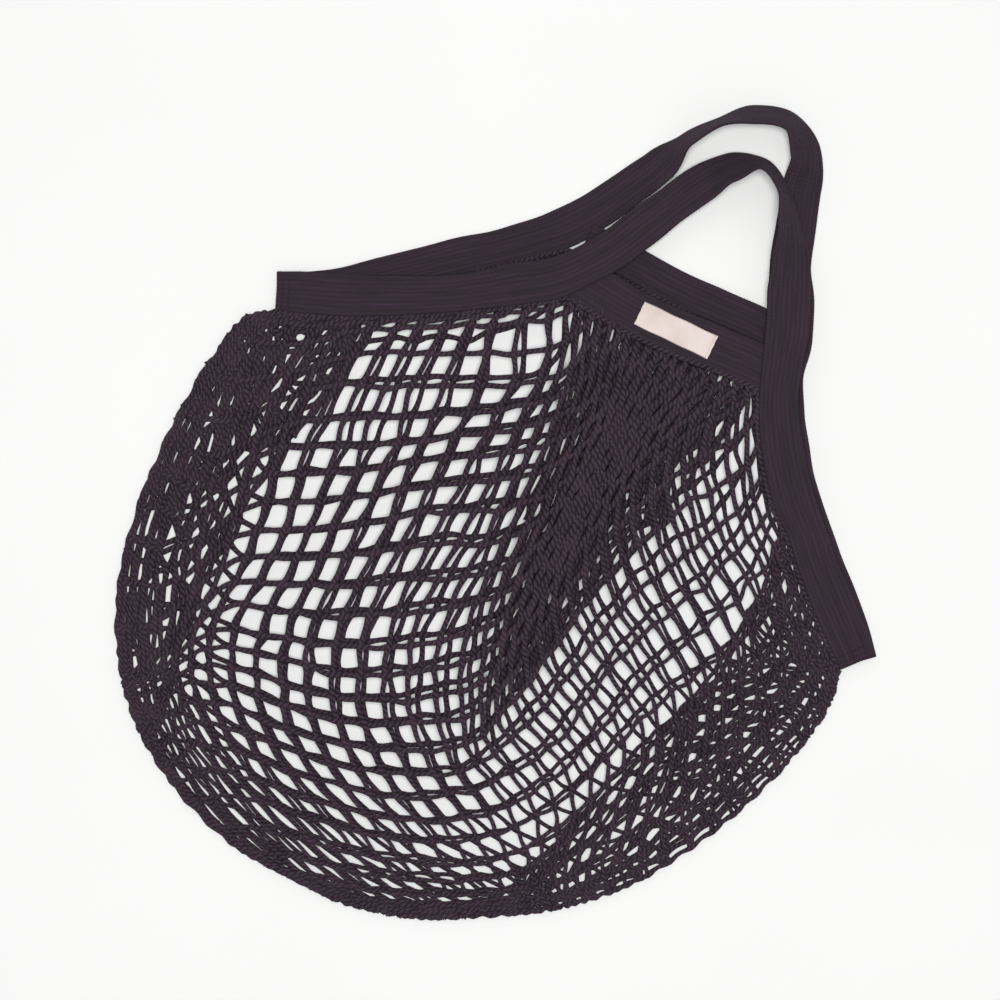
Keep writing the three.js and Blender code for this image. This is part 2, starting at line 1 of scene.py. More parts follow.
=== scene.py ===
"""A string shopping bag lying flat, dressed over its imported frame.

The net, its bands, its seams and its label are surfaces worked out with numpy over the same runs
as the frame's solids. Lengths are millimetres in the bag's own plan until a mesh is made: x across
the bag, y from the line through its side corners up to the handles, z up off the surface.
"""

import logging
import math
from dataclasses import dataclass, field
from enum import Enum
from typing import Iterator, Sequence

import bpy
import numpy as np
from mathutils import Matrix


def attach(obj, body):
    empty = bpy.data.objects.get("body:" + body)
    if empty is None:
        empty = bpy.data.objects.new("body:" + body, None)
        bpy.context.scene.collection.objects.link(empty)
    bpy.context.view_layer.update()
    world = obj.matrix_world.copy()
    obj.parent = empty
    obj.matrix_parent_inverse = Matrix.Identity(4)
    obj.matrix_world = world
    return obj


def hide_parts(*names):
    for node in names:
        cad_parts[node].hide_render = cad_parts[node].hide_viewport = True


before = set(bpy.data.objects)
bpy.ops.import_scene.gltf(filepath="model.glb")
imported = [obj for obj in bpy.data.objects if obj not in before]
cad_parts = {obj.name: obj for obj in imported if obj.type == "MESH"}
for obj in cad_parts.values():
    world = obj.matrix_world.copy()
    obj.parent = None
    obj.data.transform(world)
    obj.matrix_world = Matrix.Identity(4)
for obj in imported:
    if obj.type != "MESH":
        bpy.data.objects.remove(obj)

LOG = logging.getLogger("string_bag")
Array = np.ndarray


def table(names: str, rows: Sequence[Sequence[float]]) -> dict[str, Array]:
    """A table's columns as arrays, by their names, which are given in order."""
    return dict(zip(names.split(), np.array(rows, float).T.copy()))


# The frame's origin is under the middle of the bag's footprint: what is added to the plan's x, y.
PLAN_SHIFT = (-1.118, 20.297, 0.0)
MM = 0.001

# Main runs, as in the frame's solids, millimetres.
NET_HALF_WIDTH = 200.0
NET_DEPTH = 275.0
MOUTH_RISE = 94.0
HANDLE_RISE = 229.0
CORNER_HALF_SPAN = 192.0
BAND_WIDTH = 23.5
BAND_THICKNESS = 2.2
NET_THICKNESS = 2.2
OUTER_LEVEL = 2.5
MOUTH_LEVEL = 8.9
NET_LOFT = 5.0
SEAM_GAP = 0.6

UPWARD = np.array([0.0, 0.0, 1.0])

# Samples of a band's edge, and of a line that is cut from it.
EDGE_SAMPLES = 120
CUT_SAMPLES = 60

# Outline of the net from the bottom to a side corner: shares of NET_HALF_WIDTH and NET_DEPTH.
OUTLINE_RIGHT = table("x y", (
    (-0.040, -0.996), (0.090, -0.988), (0.288, -0.939), (0.460, -0.860), (0.620, -0.770),
    (0.755, -0.656), (0.854, -0.519), (0.928, -0.364), (0.965, -0.225), (0.970, -0.127),
))
OUTLINE_LEFT = table("x y", (
    (-0.040, -0.996), (-0.235, -1.003), (-0.460, -0.966), (-0.669, -0.885), (-0.830, -0.756),
    (-0.931, -0.597), (-0.982, -0.426), (-1.002, -0.248), (-0.996, -0.145), (-0.984, -0.085),
))

# Slopes of the bands from a side corner to the mouth: shares of CORNER_HALF_SPAN, MOUTH_RISE and
# BAND_WIDTH.
FRONT_SLOPE_LEFT = table("x y width", (
    (-0.984, 0.000, 0.92), (-0.895, 0.095, 1.00), (-0.806, 0.190, 1.00), (-0.719, 0.295, 0.95),
    (-0.634, 0.404, 0.90), (-0.551, 0.518, 0.88), (-0.472, 0.645, 0.91), (-0.396, 0.780, 0.98),
    (-0.319, 0.912, 0.97),
))
FRONT_SLOPE_RIGHT = table("x y width", (
    (1.018, -0.074, 0.92), (0.936, 0.045, 0.97), (0.854, 0.162, 0.97), (0.772, 0.284, 0.94),
    (0.695, 0.415, 0.90), (0.614, 0.537, 0.98), (0.542, 0.678, 1.00), (0.476, 0.833, 0.98),
    (0.419, 1.003, 0.90),
))
BACK_SLOPE_LEFT = table("x y width", (
    (-0.984, 0.000, 0.92), (-0.893, 0.115, 0.92), (-0.813, 0.263, 0.87), (-0.740, 0.424, 0.84),
    (-0.663, 0.580, 0.84), (-0.589, 0.738, 0.87), (-0.510, 0.890, 0.84), (-0.436, 1.050, 0.86),
    (-0.366, 1.217, 0.97),
))
BACK_SLOPE_RIGHT = table("x y width", (
    (1.018, -0.074, 0.92), (0.938, 0.072, 0.98), (0.852, 0.206, 0.98), (0.767, 0.341, 0.93),
    (0.685, 0.485, 0.90), (0.599, 0.617, 1.00), (0.526, 0.778, 1.00), (0.460, 0.954, 0.95),
    (0.404, 1.141, 0.90),
))

# Handle loops, left to right: x and y shares, width share, roll on edge in degrees, lift as a
# share of the mouth's level.
FRONT_LOOP = table("x y width roll lift", (
    (-0.260, 0.054, 0.95, 0, 1.00), (-0.212, 0.180, 0.95, 0, 1.00), (-0.176, 0.313, 0.96, 0, 0.80),
    (-0.139, 0.446, 0.92, -6, 0.62), (-0.100, 0.578, 0.97, -16, 0.52),
    (-0.051, 0.703, 1.00, -42, 0.40), (0.026, 0.789, 1.00, -70, 0.34),
    (0.110, 0.745, 1.00, -72, 0.42), (0.183, 0.630, 1.00, -55, 0.52),
    (0.240, 0.513, 1.00, -24, 0.60), (0.289, 0.387, 1.06, -8, 0.80), (0.337, 0.262, 1.04, 0, 1.00),
    (0.377, 0.130, 0.95, 0, 1.00),
))
BACK_LOOP = table("x y width roll lift", (
    (-0.313, 0.284, 0.94, 0, 0), (-0.270, 0.424, 0.88, 0, 0), (-0.228, 0.564, 0.94, -26, 0),
    (-0.198, 0.713, 1.00, -68, 0), (-0.144, 0.844, 1.00, -76, 0), (-0.067, 0.950, 1.00, -60, 0),
    (0.033, 1.000, 1.00, -58, 0), (0.120, 0.920, 0.96, -34, 0), (0.165, 0.781, 0.92, 0, 0),
    (0.207, 0.640, 0.96, 0, 0), (0.250, 0.499, 1.00, 0, 0), (0.309, 0.372, 1.08, 0, 0),
    (0.364, 0.241, 1.00, 0, 0),
))

# Mouth bands between their ends: share along, drop of the front and of the back band as shares of
# MOUTH_RISE, share of the ends' level that is held.
MOUTH_SAG = table("along front back held", (
    (0.00, 0.000, 0.000, 1.0), (0.20, 0.020, 0.000, 1.0), (0.33, 0.034, 0.006, 0.6),
    (0.46, 0.036, 0.015, 0.0), (0.58, 0.026, 0.014, 0.0), (0.70, 0.012, 0.006, 0.6),
    (0.84, 0.000, -0.004, 1.0), (1.00, 0.000, 0.000, 1.0),
))

# Soft ridges of the front layer: x at the mouth and at the lower end as shares of
# NET_HALF_WIDTH, lower end as a share of NET_DEPTH, width share, height share of NET_LOFT.
FOLDS = table("x0 x1 y1 width height", (
    (0.10, 0.06, -0.86, 0.100, 0.75), (-0.12, -0.34, -0.62, 0.085, 0.45),
    (0.28, 0.46, -0.60, 0.085, 0.45), (-0.30, -0.72, -0.44, 0.075, 0.35),
))

# The gather that runs down from the mouth: its middle and half width in millimetres, the share
# by which the cells close up there, and how far they hang down in it.
GATHER = table("x y half_width closing hang", (
    (40.0, -190.0, 18.0, 0.00, 0.0), (37.0, -140.0, 24.0, 0.42, 6.0),
    (30.0, -100.0, 34.0, 0.50, 10.0), (22.0, -50.0, 46.0, 0.52, 14.0),
    (18.0, -10.0, 54.0, 0.50, 14.0), (16.0, 26.0, 58.0, 0.44, 12.0), (14.0, 60.0, 60.0, 0.36, 8.0),
    (12.0, 100.0, 60.0, 0.20, 4.0),
))

# Where the net is pleated under the gather: y, and its left and right edges, millimetres.
PLEAT = table("y left right", (
    (-140.0, 34.0, 40.0), (-92.0, 13.0, 44.0), (-50.0, -8.0, 50.0), (-31.0, -17.0, 54.0),
    (-3.0, -26.0, 60.0), (38.0, -34.0, 64.0), (110.0, -38.0, 66.0),
))

# Where the back layer lies out of step with the front one, in shares of the net's two runs, the
# spread of the patch, and the extra steps along each run in cells.
OFFSETS = table("u v spread step_u step_v", (
    (0.52, 0.44, 0.12, 0.34, 0.20), (0.46, 0.76, 0.09, 0.20, 0.30), (0.24, 0.22, 0.12, 0.24, 0.04),
    (0.74, 0.40, 0.18, 0.30, 0.28), (0.60, 0.18, 0.14, 0.34, 0.24), (0.16, 0.95, 0.12, 0.15, 0.36),
    (0.36, 0.95, 0.12, 0.34, 0.50), (0.28, 0.80, 0.05, 0.32, 0.00), (0.42, 0.60, 0.10, 0.32, 0.16),
    (0.90, 0.34, 0.12, 0.32, 0.22),
))

# How many cells of the net are folded in at the sides: share of the way from the bottom to a side
# corner, cells in from the left and from the right half of the outline.
FOLDED_IN = table("share left right", (
    (0.00, 1.5, 1.5), (0.20, 1.1, 1.5), (0.30, 1.1, 1.5), (0.40, 1.6, 2.3), (0.50, 3.3, 3.4),
    (0.65, 5.0, 4.6), (0.75, 7.0, 5.4), (0.85, 8.0, 6.2), (0.95, 7.0, 6.8), (1.00, 6.5, 7.2),
))

# Rows of the open net evened out: the share of the left outline that a row is counted at, and how
# much further up it lies, all zero again at the right of the net.
EVENED = table("share shift", (
    (0.00, 0.000), (0.04, -0.014), (0.07, -0.026), (0.11, -0.024), (0.15, -0.007), (0.19, 0.012),
    (0.22, 0.028), (0.26, 0.031), (0.30, 0.030), (0.33, 0.025), (0.37, 0.015), (0.41, 0.005),
    (0.44, -0.005), (0.48, -0.014), (0.52, -0.019), (0.55, -0.013), (0.59, 0.001), (0.63, 0.020),
    (0.67, 0.034), (0.71, 0.043), (0.75, 0.044), (0.80, 0.033), (0.87, 0.019), (0.93, 0.015),
    (0.97, 0.000), (1.00, 0.000),
))


def smooth(value: Array | float) -> Array:
    """Smoothstep: 3 t squared minus 2 t cubed, with t held between 0 and 1."""
    t = np.clip(value, 0.0, 1.0)
    return t * t * (3.0 - 2.0 * t)


def rise(value: Array, start: float, span: float) -> Array:
    """Smoothstep that leaves 0 at the start and is 1 after the span."""
    return smooth((value - start) / span)


def fall(value: Array, end: float, span: float) -> Array:
    """Smoothstep that leaves 1 a span before the end and is 0 after it."""
    return smooth((end - value) / span)


def bell(off: Array, half: Array | float) -> Array:
    """Bell curve: e to minus the square of the distance over the half width."""
    return np.exp(-((off / half) ** 2))


def held_ends(share: Array) -> Array:
    """A hump over a run from 0 to 1 that is 0 at both ends."""
    steep = np.clip(8 * share, 0, 1)
    return np.clip(4 * share * (1 - share), 0, 1) * steep * np.clip(8 * (1 - share), 0, 1)


def unit(vectors: Array) -> Array:
    """Each row of the vectors, divided by its length."""
    return vectors / np.maximum(np.linalg.norm(vectors, axis=1), 1e-9)[:, None]


def through_points(points: Array, per_span: int) -> Array:
    """A centripetal Catmull-Rom line: each span is the cubic whose end slopes come from the
    neighbouring points, weighed by the square roots of the distances between them.

    Args:
        points: The points that the line passes, one a row.
        per_span: Samples in each span.
    Returns:
        The line's samples, with the last point at the end.
    """
    padded = np.vstack([2 * points[0] - points[1], points, 2 * points[-1] - points[-2]])
    p0, p1, p2, p3 = padded[:-3], padded[1:-2], padded[2:-1], padded[3:]
    d0, d1, d2 = (
        np.maximum(np.linalg.norm(b - a, axis=1), 1e-9)[:, None] ** 0.5
        for a, b in ((p0, p1), (p1, p2), (p2, p3))
    )
    m1 = ((p1 - p0) / d0 - (p2 - p0) / (d0 + d1) + (p2 - p1) / d1) * d1
    m2 = ((p2 - p1) / d1 - (p3 - p1) / (d1 + d2) + (p3 - p2) / d2) * d1
    t = (np.arange(per_span) / per_span)[None, :, None]
    a, b, m, n = p1[:, None], p2[:, None], m1[:, None], m2[:, None]
    line = a + m * t + (3 * (b - a) - 2 * m - n) * t**2 + (2 * (a - b) + m + n) * t**3
    return np.vstack([line.reshape(-1, points.shape[1]), points[-1:]])


def run_length(points: Array) -> Array:
    """Length run along a line from its start to each of its points."""
    steps = np.linalg.norm(np.diff(points, axis=0), axis=1)
    return np.concatenate([[0.0], np.cumsum(steps)])


class Line:
    """A line in plan or in space, read by share of its length."""

    def __init__(self, points: Array) -> None:
        """Takes the line's points and works out their shares of its length.

        Args:
            points: The points, one a row.
        """
        self.points = np.asarray(points, float)
        run = run_length(self.points)
        self.share = run / run[-1]

    def at(self, u: Array | float) -> Array:
        """Reads the line.

        Args:
            u: Shares of its length.
        Returns:
            The points there, with a last axis for the coordinates.
        """
        u = np.asarray(u, float)
        parts = [np.interp(u, self.share, self.points[:, k]) for k in range(self.points.shape[1])]
        return np.stack(parts, axis=-1)


@dataclass
class BandRun:
    """A band's run: its centre line, width, roll and level at every share of its length."""

    x: Array
    y: Array
    width: Array
    roll: Array
    level: Array
    per_span: int = 24

    def __post_init__(self) -> None:
        """Samples the centre line and the columns that go with it."""
        line = through_points(np.column_stack([self.x, self.y]), self.per_span)
        place = np.arange(len(line)) / self.per_span
        row = np.clip(place.astype(int), 0, len(self.x) - 2)
        part = smooth(place - row)
        blended = [
            values[row] * (1 - part) + values[row + 1] * part
            for values in (self.width, self.roll, self.level)
        ]
        self.samples = np.column_stack([line, *blended])
        self.length = float(np.linalg.norm(np.diff(line, axis=0), axis=1).sum())
        self.share = run_length(line) / self.length

    def read(self, u: Array) -> tuple[Array, Array, Array, Array]:
        """Plan spots, widths, rolls and levels at shares u of the length."""
        parts = [np.interp(u, self.share, self.samples[:, k]) for k in range(5)]
        return np.stack(parts[:2], axis=-1), parts[2], parts[3], parts[4]

    def stations(self, u: Array) -> tuple[Array, Array, Array, Array, Array]:
        """Stations along the run.

        Args:
            u: Shares of the length.
        Returns:
            Centres, unit vectors across and through the band, plan normals, and widths.
        """
        spot, width, roll, level = self.read(u)
        near = 0.002  # share to each side over which the direction is taken
        ahead = self.read(np.minimum(u + near, 1))[0] - self.read(np.maximum(u - near, 0))[0]
        ahead = unit(ahead)
        aside = np.column_stack([-ahead[:, 1], ahead[:, 0], np.zeros(len(u))])
        up = UPWARD
        cos, sin = np.cos(roll)[:, None], np.sin(roll)[:, None]
        across = aside * cos + up * sin
        through = up * cos - aside * sin
        high = 0.5 * (width * np.abs(np.sin(roll)) + BAND_THICKNESS * np.cos(roll))
        centre = np.column_stack([spot, level + high])
        return centre, across, through, aside, width

    def net_edge(self, start: float, end: float, level: float, mouth_level: float) -> Array:
        """The band's edge on its net side, with the seam's gap.

        Args:
            start: First share of the length.
            end: Last share of the length.
            level: The net's level beside the corners.
            mouth_level: The net's level beside the mouth.
        Returns:
            Points of the edge.
        """
        u = np.linspace(start, end, EDGE_SAMPLES)
        centre, _, _, aside, width = self.stations(u)
        _, _, roll, height = self.read(u)
        low, high = self.level.min(), self.level.max()
        climb = (height - low) / (high - low) if high > low else np.ones(len(u))
        reach = 0.5 * width * np.cos(roll) + SEAM_GAP
        edge = centre[:, :2] - aside[:, :2] * reach[:, None]
        return np.column_stack([edge, level + (mouth_level - level) * climb])


def handle_run(
    left: dict[str, Array], loop: dict[str, Array], right: dict[str, Array],
    corner_level: float, mouth_level: float,
) -> BandRun:
    """A handle band's run: left slope, loop, right slope.

    Args:
        left: Table of the left slope.
        loop: Table of the loop.
        right: Table of the right slope.
        corner_level: Level of the band at the side corners.
        mouth_level: Level of the band over the mouth.
    Returns:
        The run.
    """
    count = len(left["x"])
    climb = mouth_level - corner_level
    slope_level = corner_level + climb * smooth(np.arange(count) / (count - 2))
    y_loop = MOUTH_RISE + loop["y"] * (HANDLE_RISE - MOUTH_RISE)
    flat = np.zeros(count)
    x, width = (
        np.concatenate([left[name], loop[name], right[name][::-1]]) for name in ("x", "width")
    )
    return BandRun(
        x=x * CORNER_HALF_SPAN,
        y=np.concatenate([left["y"] * MOUTH_RISE, y_loop, right["y"][::-1] * MOUTH_RISE]),
        width=width * BAND_WIDTH,
        roll=np.concatenate([flat, np.radians(loop["roll"]), flat]),
        level=np.concatenate(
            [slope_level, corner_level + climb * loop["lift"], slope_level[::-1]]
        ),
    )


def mouth_run(
    handle: BandRun, ends: tuple[float, float], side: str, width: float, level: float,
    middle: float,
) -> BandRun:
    """A mouth band's run between two spots of a handle band.

    Args:
        handle: The handle band's run.
        ends: Shares of its length where the mouth band ends.
        side: Which sag column the band follows.
        width: The band's width.
        level: Level of its ends.
        middle: Level of its middle.
    Returns:
        The run.
    """
    spots = handle.read(np.array(ends))[0]
    line = spots[0] + (spots[1] - spots[0]) * MOUTH_SAG["along"][:, None]
    flat = np.zeros(len(line))
    return BandRun(
        x=line[:, 0], y=line[:, 1] - MOUTH_SAG[side] * MOUTH_RISE, width=flat + width, roll=flat,
        level=middle + (level - middle) * MOUTH_SAG["held"],
    )


def crossing(p: Array, q: Array) -> tuple[float, float]:
    """Where two plan lines cross, as index shares of each: the pair of pieces whose two shares
    both lie between 0 and 1.

    Args:
        p: Points of the first line.
        q: Points of the second line.
    Returns:
        The two index shares.
    """
    d1, d2 = np.diff(p[:, :2], axis=0)[:, None], np.diff(q[:, :2], axis=0)[None]
    gap = q[None, :-1, :2] - p[:-1, None, :2]
    det = d1[..., 0] * d2[..., 1] - d1[..., 1] * d2[..., 0]
    a = (gap[..., 0] * d2[..., 1] - gap[..., 1] * d2[..., 0]) / det
    b = (gap[..., 0] * d1[..., 1] - gap[..., 1] * d1[..., 0]) / det
    miss = np.abs(a - np.clip(a, 0, 1)) + np.abs(b - np.clip(b, 0, 1))
    i, j = np.unravel_index(np.argmin(miss), miss.shape)
    return (i + float(a[i, j])) / (len(p) - 1), (j + float(b[i, j])) / (len(q) - 1)


def cut(points: Array, start: float, end: float) -> Array:
    """The part of a line between two index shares.

    Args:
        points: The line's points.
        start: Index share where the part starts.
        end: Index share where it ends.
    Returns:
        Points of the part.
    """
    share = np.linspace(0, 1, len(points))
    wanted = np.linspace(start, end, CUT_SAMPLES)
    parts = [np.interp(wanted, share, points[:, k]) for k in range(points.shape[1])]
    return np.column_stack(parts)


class Family(Enum):
    """The two directions that a layer's strings run in."""

    UPRIGHT = 0
    SLANTED = 1


class Reach(Enum):
    """Which part of the pouch a layer of the net covers."""

    WHOLE = "whole"
    SIDES = "sides"
    PLEAT = "pleat"


@dataclass(frozen=True)
class Bunching:
    """How the cells close up beside one half of the outline.

    Depth is the share of the net over which they do, and rate their spacing at the edge against
    that in the open net. The slope and the corner that face the edge have rates of their own,
    over a share of the depth.
    """

    depth: float
    rate: float
    slope_share: float
    slope_rate: float
    corner_share: float
    corner_rate: float


@dataclass
class NetLayer:
    """One layer of the net: a blend of the outline's two halves and the two slopes of its band.

    The strings run at whole cells of two numbers i and j, counted from the bottom of the outline
    up its right and its left half. The cells close up beside the outline and in the gather under
    the mouth.
    """

    run: BandRun
    mouth: BandRun
    level: float
    mouth_level: float
    loft: float = 0.0
    cells_across: int = 35
    cells_up: int = 27
    mouth_share: float = 0.4375
    left_edge: Bunching = Bunching(0.18, 0.34, 0.6, 0.60, 0.6, 0.25)
    right_edge: Bunching = Bunching(0.30, 0.28, 1.0, 0.80, 0.5, 0.5)
    relax: float = 0.55
    sweep: float = -0.18
    sweep_depth: float = 0.16
    tilt: float = 0.075
    jitter: float = 0.045
    seed: int = 3
    reach: Reach = Reach.WHOLE
    step: tuple[float, float] = (0.0, 0.0)
    inset: float = 0.0
    edge_turn: float = 9.0
    partner: "NetLayer | None" = None

    def __post_init__(self) -> None:
        """Takes the layer's edges from its bands."""
        self.k = self.mouth_share
        left = self.run.net_edge(0.0, 0.5, self.level, self.mouth_level)
        right = self.run.net_edge(0.5, 1.0, self.level, self.mouth_level)[::-1]
        lower = self.mouth.net_edge(0.0, 1.0, self.mouth_level, self.mouth_level)
        a, b = crossing(left, lower)
        c, d = crossing(right, lower)
        top, near_top = (left[-1:] + right[-1:]) / 2, 0.9
        self.slope_left, self.slope_right = Line(cut(left, 0, a)), Line(cut(right, 0, c))
        self.rise_left = Line(np.vstack([cut(left, a, near_top), top]))
        self.rise_right = Line(np.vstack([cut(right, c, near_top), top]))
        self.mouth_edge = Line(cut(lower, b, d))
        self.outline_right = self.outline(OUTLINE_RIGHT, right[0])
        self.outline_left = self.outline(OUTLINE_LEFT, left[0])

    def outline(self, half: dict[str, Array], corner: Array) -> Line:
        """Half of the outline, from the bottom to a side corner.

        Args:
            half: Table of that half.
            corner: The side corner.
        Returns:
            The line.
        """
        x, y = half["x"] * NET_HALF_WIDTH, half["y"] * NET_DEPTH
        points = np.column_stack([x, y, np.full(len(x), self.level)])
        return Line(through_points(np.vstack([points, corner]), BandRun.per_span))

    def upper_edge(self, slope: Line, side: Line, u: Array) -> Array:
        """The upper edge: the slope up to the mouth, the handle's side above it.

        Args:
            slope: The slope's line.
            side: The line of the handle's side.
            u: Shares of the edge.
        Returns:
            The points there.
        """
        low = slope.at(np.clip(u / self.k, 0, 1))
        high = side.at(np.clip((u - self.k) / (1 - self.k), 0, 1))
        return np.where((u < self.k)[..., None], low, high)

    def patch(self, x: Array, y: Array) -> Array:
        """Coons blend: the two straight blends of facing edges added, the blend of the four
        corners taken away.

        Args:
            x: Shares up the right half of the outline.
            y: Shares up the left half.
        Returns:
            The points there.
        """
        s, t = x[..., None], y[..., None]
        right, left = self.outline_right, self.outline_left
        corners = (1 - s) * (1 - t) * right.at(0.0) + s * (1 - t) * right.at(1.0)
        corners = corners + (1 - s) * t * left.at(1.0) + s * t * self.rise_left.at(1.0)
        edges = (1 - t) * right.at(x) + t * self.upper_edge(self.slope_left, self.rise_left, x)
        edges += (1 - s) * left.at(y) + s * self.upper_edge(self.slope_right, self.rise_right, y)
        return edges - corners

    def sheet(self, x: Array, y: Array) -> Array:
        """The blend drawn on to the mouth band's edge where the cells end, most beside it.

        Args:
            x: Shares up the right half of the outline.
            y: Shares up the left half.
        Returns:
            The points there.
        """
        k = self.k
        aside = (x - y) / (1 - k)
        near = (x + y) / (1 + k)
        m = (1 + np.clip(aside, -1, 1)) / 2
        reached = self.patch(k + (1 - k) * m, k + (1 - k) * (1 - m))
        pull = rise(near, 0.45, 0.55) * fall(np.abs(aside), 1.25, 0.3)
        return self.patch(x, y) + pull[..., None] * (self.mouth_edge.at(m) - reached)

    def bunch(self, u: Array, depth: float, rate: float) -> tuple[Array, Array]:
        """Cells closer together beside the outline: the running sum of a spacing that grows from
        rate to 1 over the depth.

        Args:
            u: Even shares.
            depth: Share over which the spacing grows.
            rate: Spacing at the outline against that in the open net.
        Returns:
            The shares with the mouth's share kept, and the shares spread over the whole run.
        """
        steps = 800
        grid = np.linspace(0, 1, steps + 1)
        spacing = rate + (1 - rate) * rise(grid, depth * 0.5, depth)
        total = np.concatenate([[0], np.cumsum((spacing[1:] + spacing[:-1]) / 2 / steps)])
        kept = np.where(grid <= self.k, total / np.interp(self.k, grid, total) * self.k, grid)
        return np.interp(u, grid, kept), np.interp(u, grid, total / total[-1])

    def closed_up(self, share: Array, other: Array, edge: Bunching) -> Array:
        """Cells closed up along one run of the net: a blend, by the other run, of the spacings
        beside the outline, the slope and the corner, all milder near the bottom.

        Args:
            share: Even shares of the run.
            other: Shares of the other run.
            edge: How the cells close up at the start of the run.
        Returns:
            The shares where the cells lie.
        """
        far = self.bunch(share, edge.depth, edge.rate)[1]
        near = self.bunch(share, edge.depth * edge.slope_share, edge.slope_rate)[0]
        tight = self.bunch(share, edge.depth * edge.corner_share, edge.corner_rate)[0]
        near = near + (tight - near) * rise(other, 0.6, 0.3)
        slope = rise(other, 0.3, 0.5)
        moved = far * (1 - slope) + near * slope
        return share + (moved - share) * (0.15 + 0.85 * smooth(other / self.relax))

    def swept(self, x: Array, y: Array) -> tuple[Array, Array]:
        """Rows and columns led as the photo shows them: rows tilted at the left of the net and
        drawn to the band above them, and both swept round near the outline.

        Args:
            x: Shares up the right half of the outline.
            y: Shares up the left half.
        Returns:
            The shares of the blend there.
        """
        inner = rise(x, 0, 0.1) * np.clip(4 * y * (1 - y), 0, 1)
        lean = self.tilt * (1 - 2 * rise(y, 0.30, 0.5))
        y = y + lean * (1 - rise(x, 0.08, 0.55)) * inner * rise(y, 0, 0.3) * fall(y, 1, 0.2)
        drawn_up = (1 - y) * (1 - 0.42 * bell(1 - y, 0.14))
        y = y + (1 - drawn_up - y) * rise(x, 0.10, 0.1)
        low = self.sweep * (0.3 + 0.7 * rise(x, 0.4, 0.3))
        left = self.sweep * (0.25 + 0.75 * rise(y, 0.40, 0.2))
        s = x + low * (1 - smooth(y / self.sweep_depth / 1.2)) * held_ends(x)
        t = y + left * (1 - smooth(x / self.sweep_depth)) * held_ends(y)
        return np.clip(s, 0, 1), np.clip(t, 0, 1)

    def place(self, i: Array, j: Array) -> Array:
        """Cell numbers to points of the layer, before the strings' own thickness.

        Args:
            i: Cells up the right half of the outline.
            j: Cells up the left half.
        Returns:
            Points in millimetres.
        """
        u, v = i / self.cells_across, j / self.cells_up
        v = v + np.interp(v, EVENED["share"], EVENED["shift"]) * fall(u, 0.65, 0.25)
        x, y = self.closed_up(u, v, self.left_edge), self.closed_up(v, u, self.right_edge)
        s, t = self.swept(x, y)
        spot = self.sheet(s, t)
        if self.partner is not None:
            # away from the bands the layer lies on the front one's plan
            shared = (1 - rise(t, 0.90, 0.10)) * (1 - rise(s, 0.90, 0.10))
            shared = (shared * (1 - rise((s + t) / (1 + self.k), 0.88, 0.12)))[..., None]
            both = self.partner.sheet(s, t)
            spot[..., :2] = both[..., :2] * shared + spot[..., :2] * (1 - shared)
        spot = self.gathered(spot, s, t)
        spot[..., 2] += self.swell(spot, s, t)
        return spot

    def gathered(self, spot: Array, s: Array, t: Array) -> Array:
        """Draws the cells down and together in the gather: y drops by the hang, fading as a bell,
        and x moves toward the middle by the closing share of its distance, fading as a bell over
        the half width. Neither moves the net where it is sewn to the bands.

        Args:
            spot: Points of the layer.
            s: Their shares of the blend, right half.
            t: Their shares, left half.
        Returns:
            The moved points.
        """
        x, y, z = spot[..., 0], spot[..., 1], spot[..., 2]
        free = rise(1 + self.k - s - t, 0, 0.14) * fall(s, 1, 0.12) * fall(t, 1, 0.12)
        middle, half, hang = (
            np.interp(y, GATHER["y"], GATHER[name]) for name in ("x", "half_width", "hang")
        )
        y = y - hang * bell(x - middle, 1.1 * half) * free
        middle, half, closing = (
            np.interp(y, GATHER["y"], GATHER[name]) for name in ("x", "half_width", "closing")
        )
        off = x - middle
        return np.stack([x - free * off * closing * bell(off, half), y, z], axis=-1)

    def swell(self, spot: Array, s: Array, t: Array) -> Array:
        """Height of the dome and of its soft ridges, fading out along all the edges.

        Args:
            spot: Points of the layer.
            s: Their shares of the blend, right half.
            t: Their shares, left half.
        Returns:
            Heights over the layer's edges.
        """
        if self.loft == 0:
            return np.zeros(s.shape)
        y = spot[..., 1] / NET_DEPTH
        fade = rise(s, 0, 0.25) * rise(t, 0, 0.25) * fall(s, 1, 0.2)
        fade = fade * fall(t, 1, 0.2) * rise(1 + self.k - s - t, 0, 0.16)
        height = np.full(s.shape, self.loft)
        top = MOUTH_RISE / NET_DEPTH
        for x0, x1, y1, width, share in zip(*FOLDS.values()):
            along = (top - y) / (top - y1)
            off = spot[..., 0] - (x0 + (x1 - x0) * along) * NET_HALF_WIDTH
            height += share * self.loft * bell(off, width * NET_HALF_WIDTH) * fall(along, 1.1, 0.4)
        return height * fade

    def out_of_step(self, u: Array, v: Array) -> tuple[Array, Array]:
        """How far the layer's cells lie from the front one's: a step, slow waves, and patches
        that fade as bells.

        Args:
            u: Shares of the net's first run.
            v: Shares of its second run.
        Returns:
            Cells along each run.
        """
        step_u = self.step[0] + 0.04 * np.sin(9.1 * u + 6.3 * v + 1.0)
        step_v = self.step[1] + 0.03 * np.sin(8.2 * v - 6.1 * u + 0.4)
        for u0, v0, spread, more_u, more_v in zip(*OFFSETS.values()):
            near = np.exp(-((u - u0) ** 2 + (v - v0) ** 2) / spread**2)
            step_u += more_u * near
            step_v += more_v * near
        return step_u, step_v

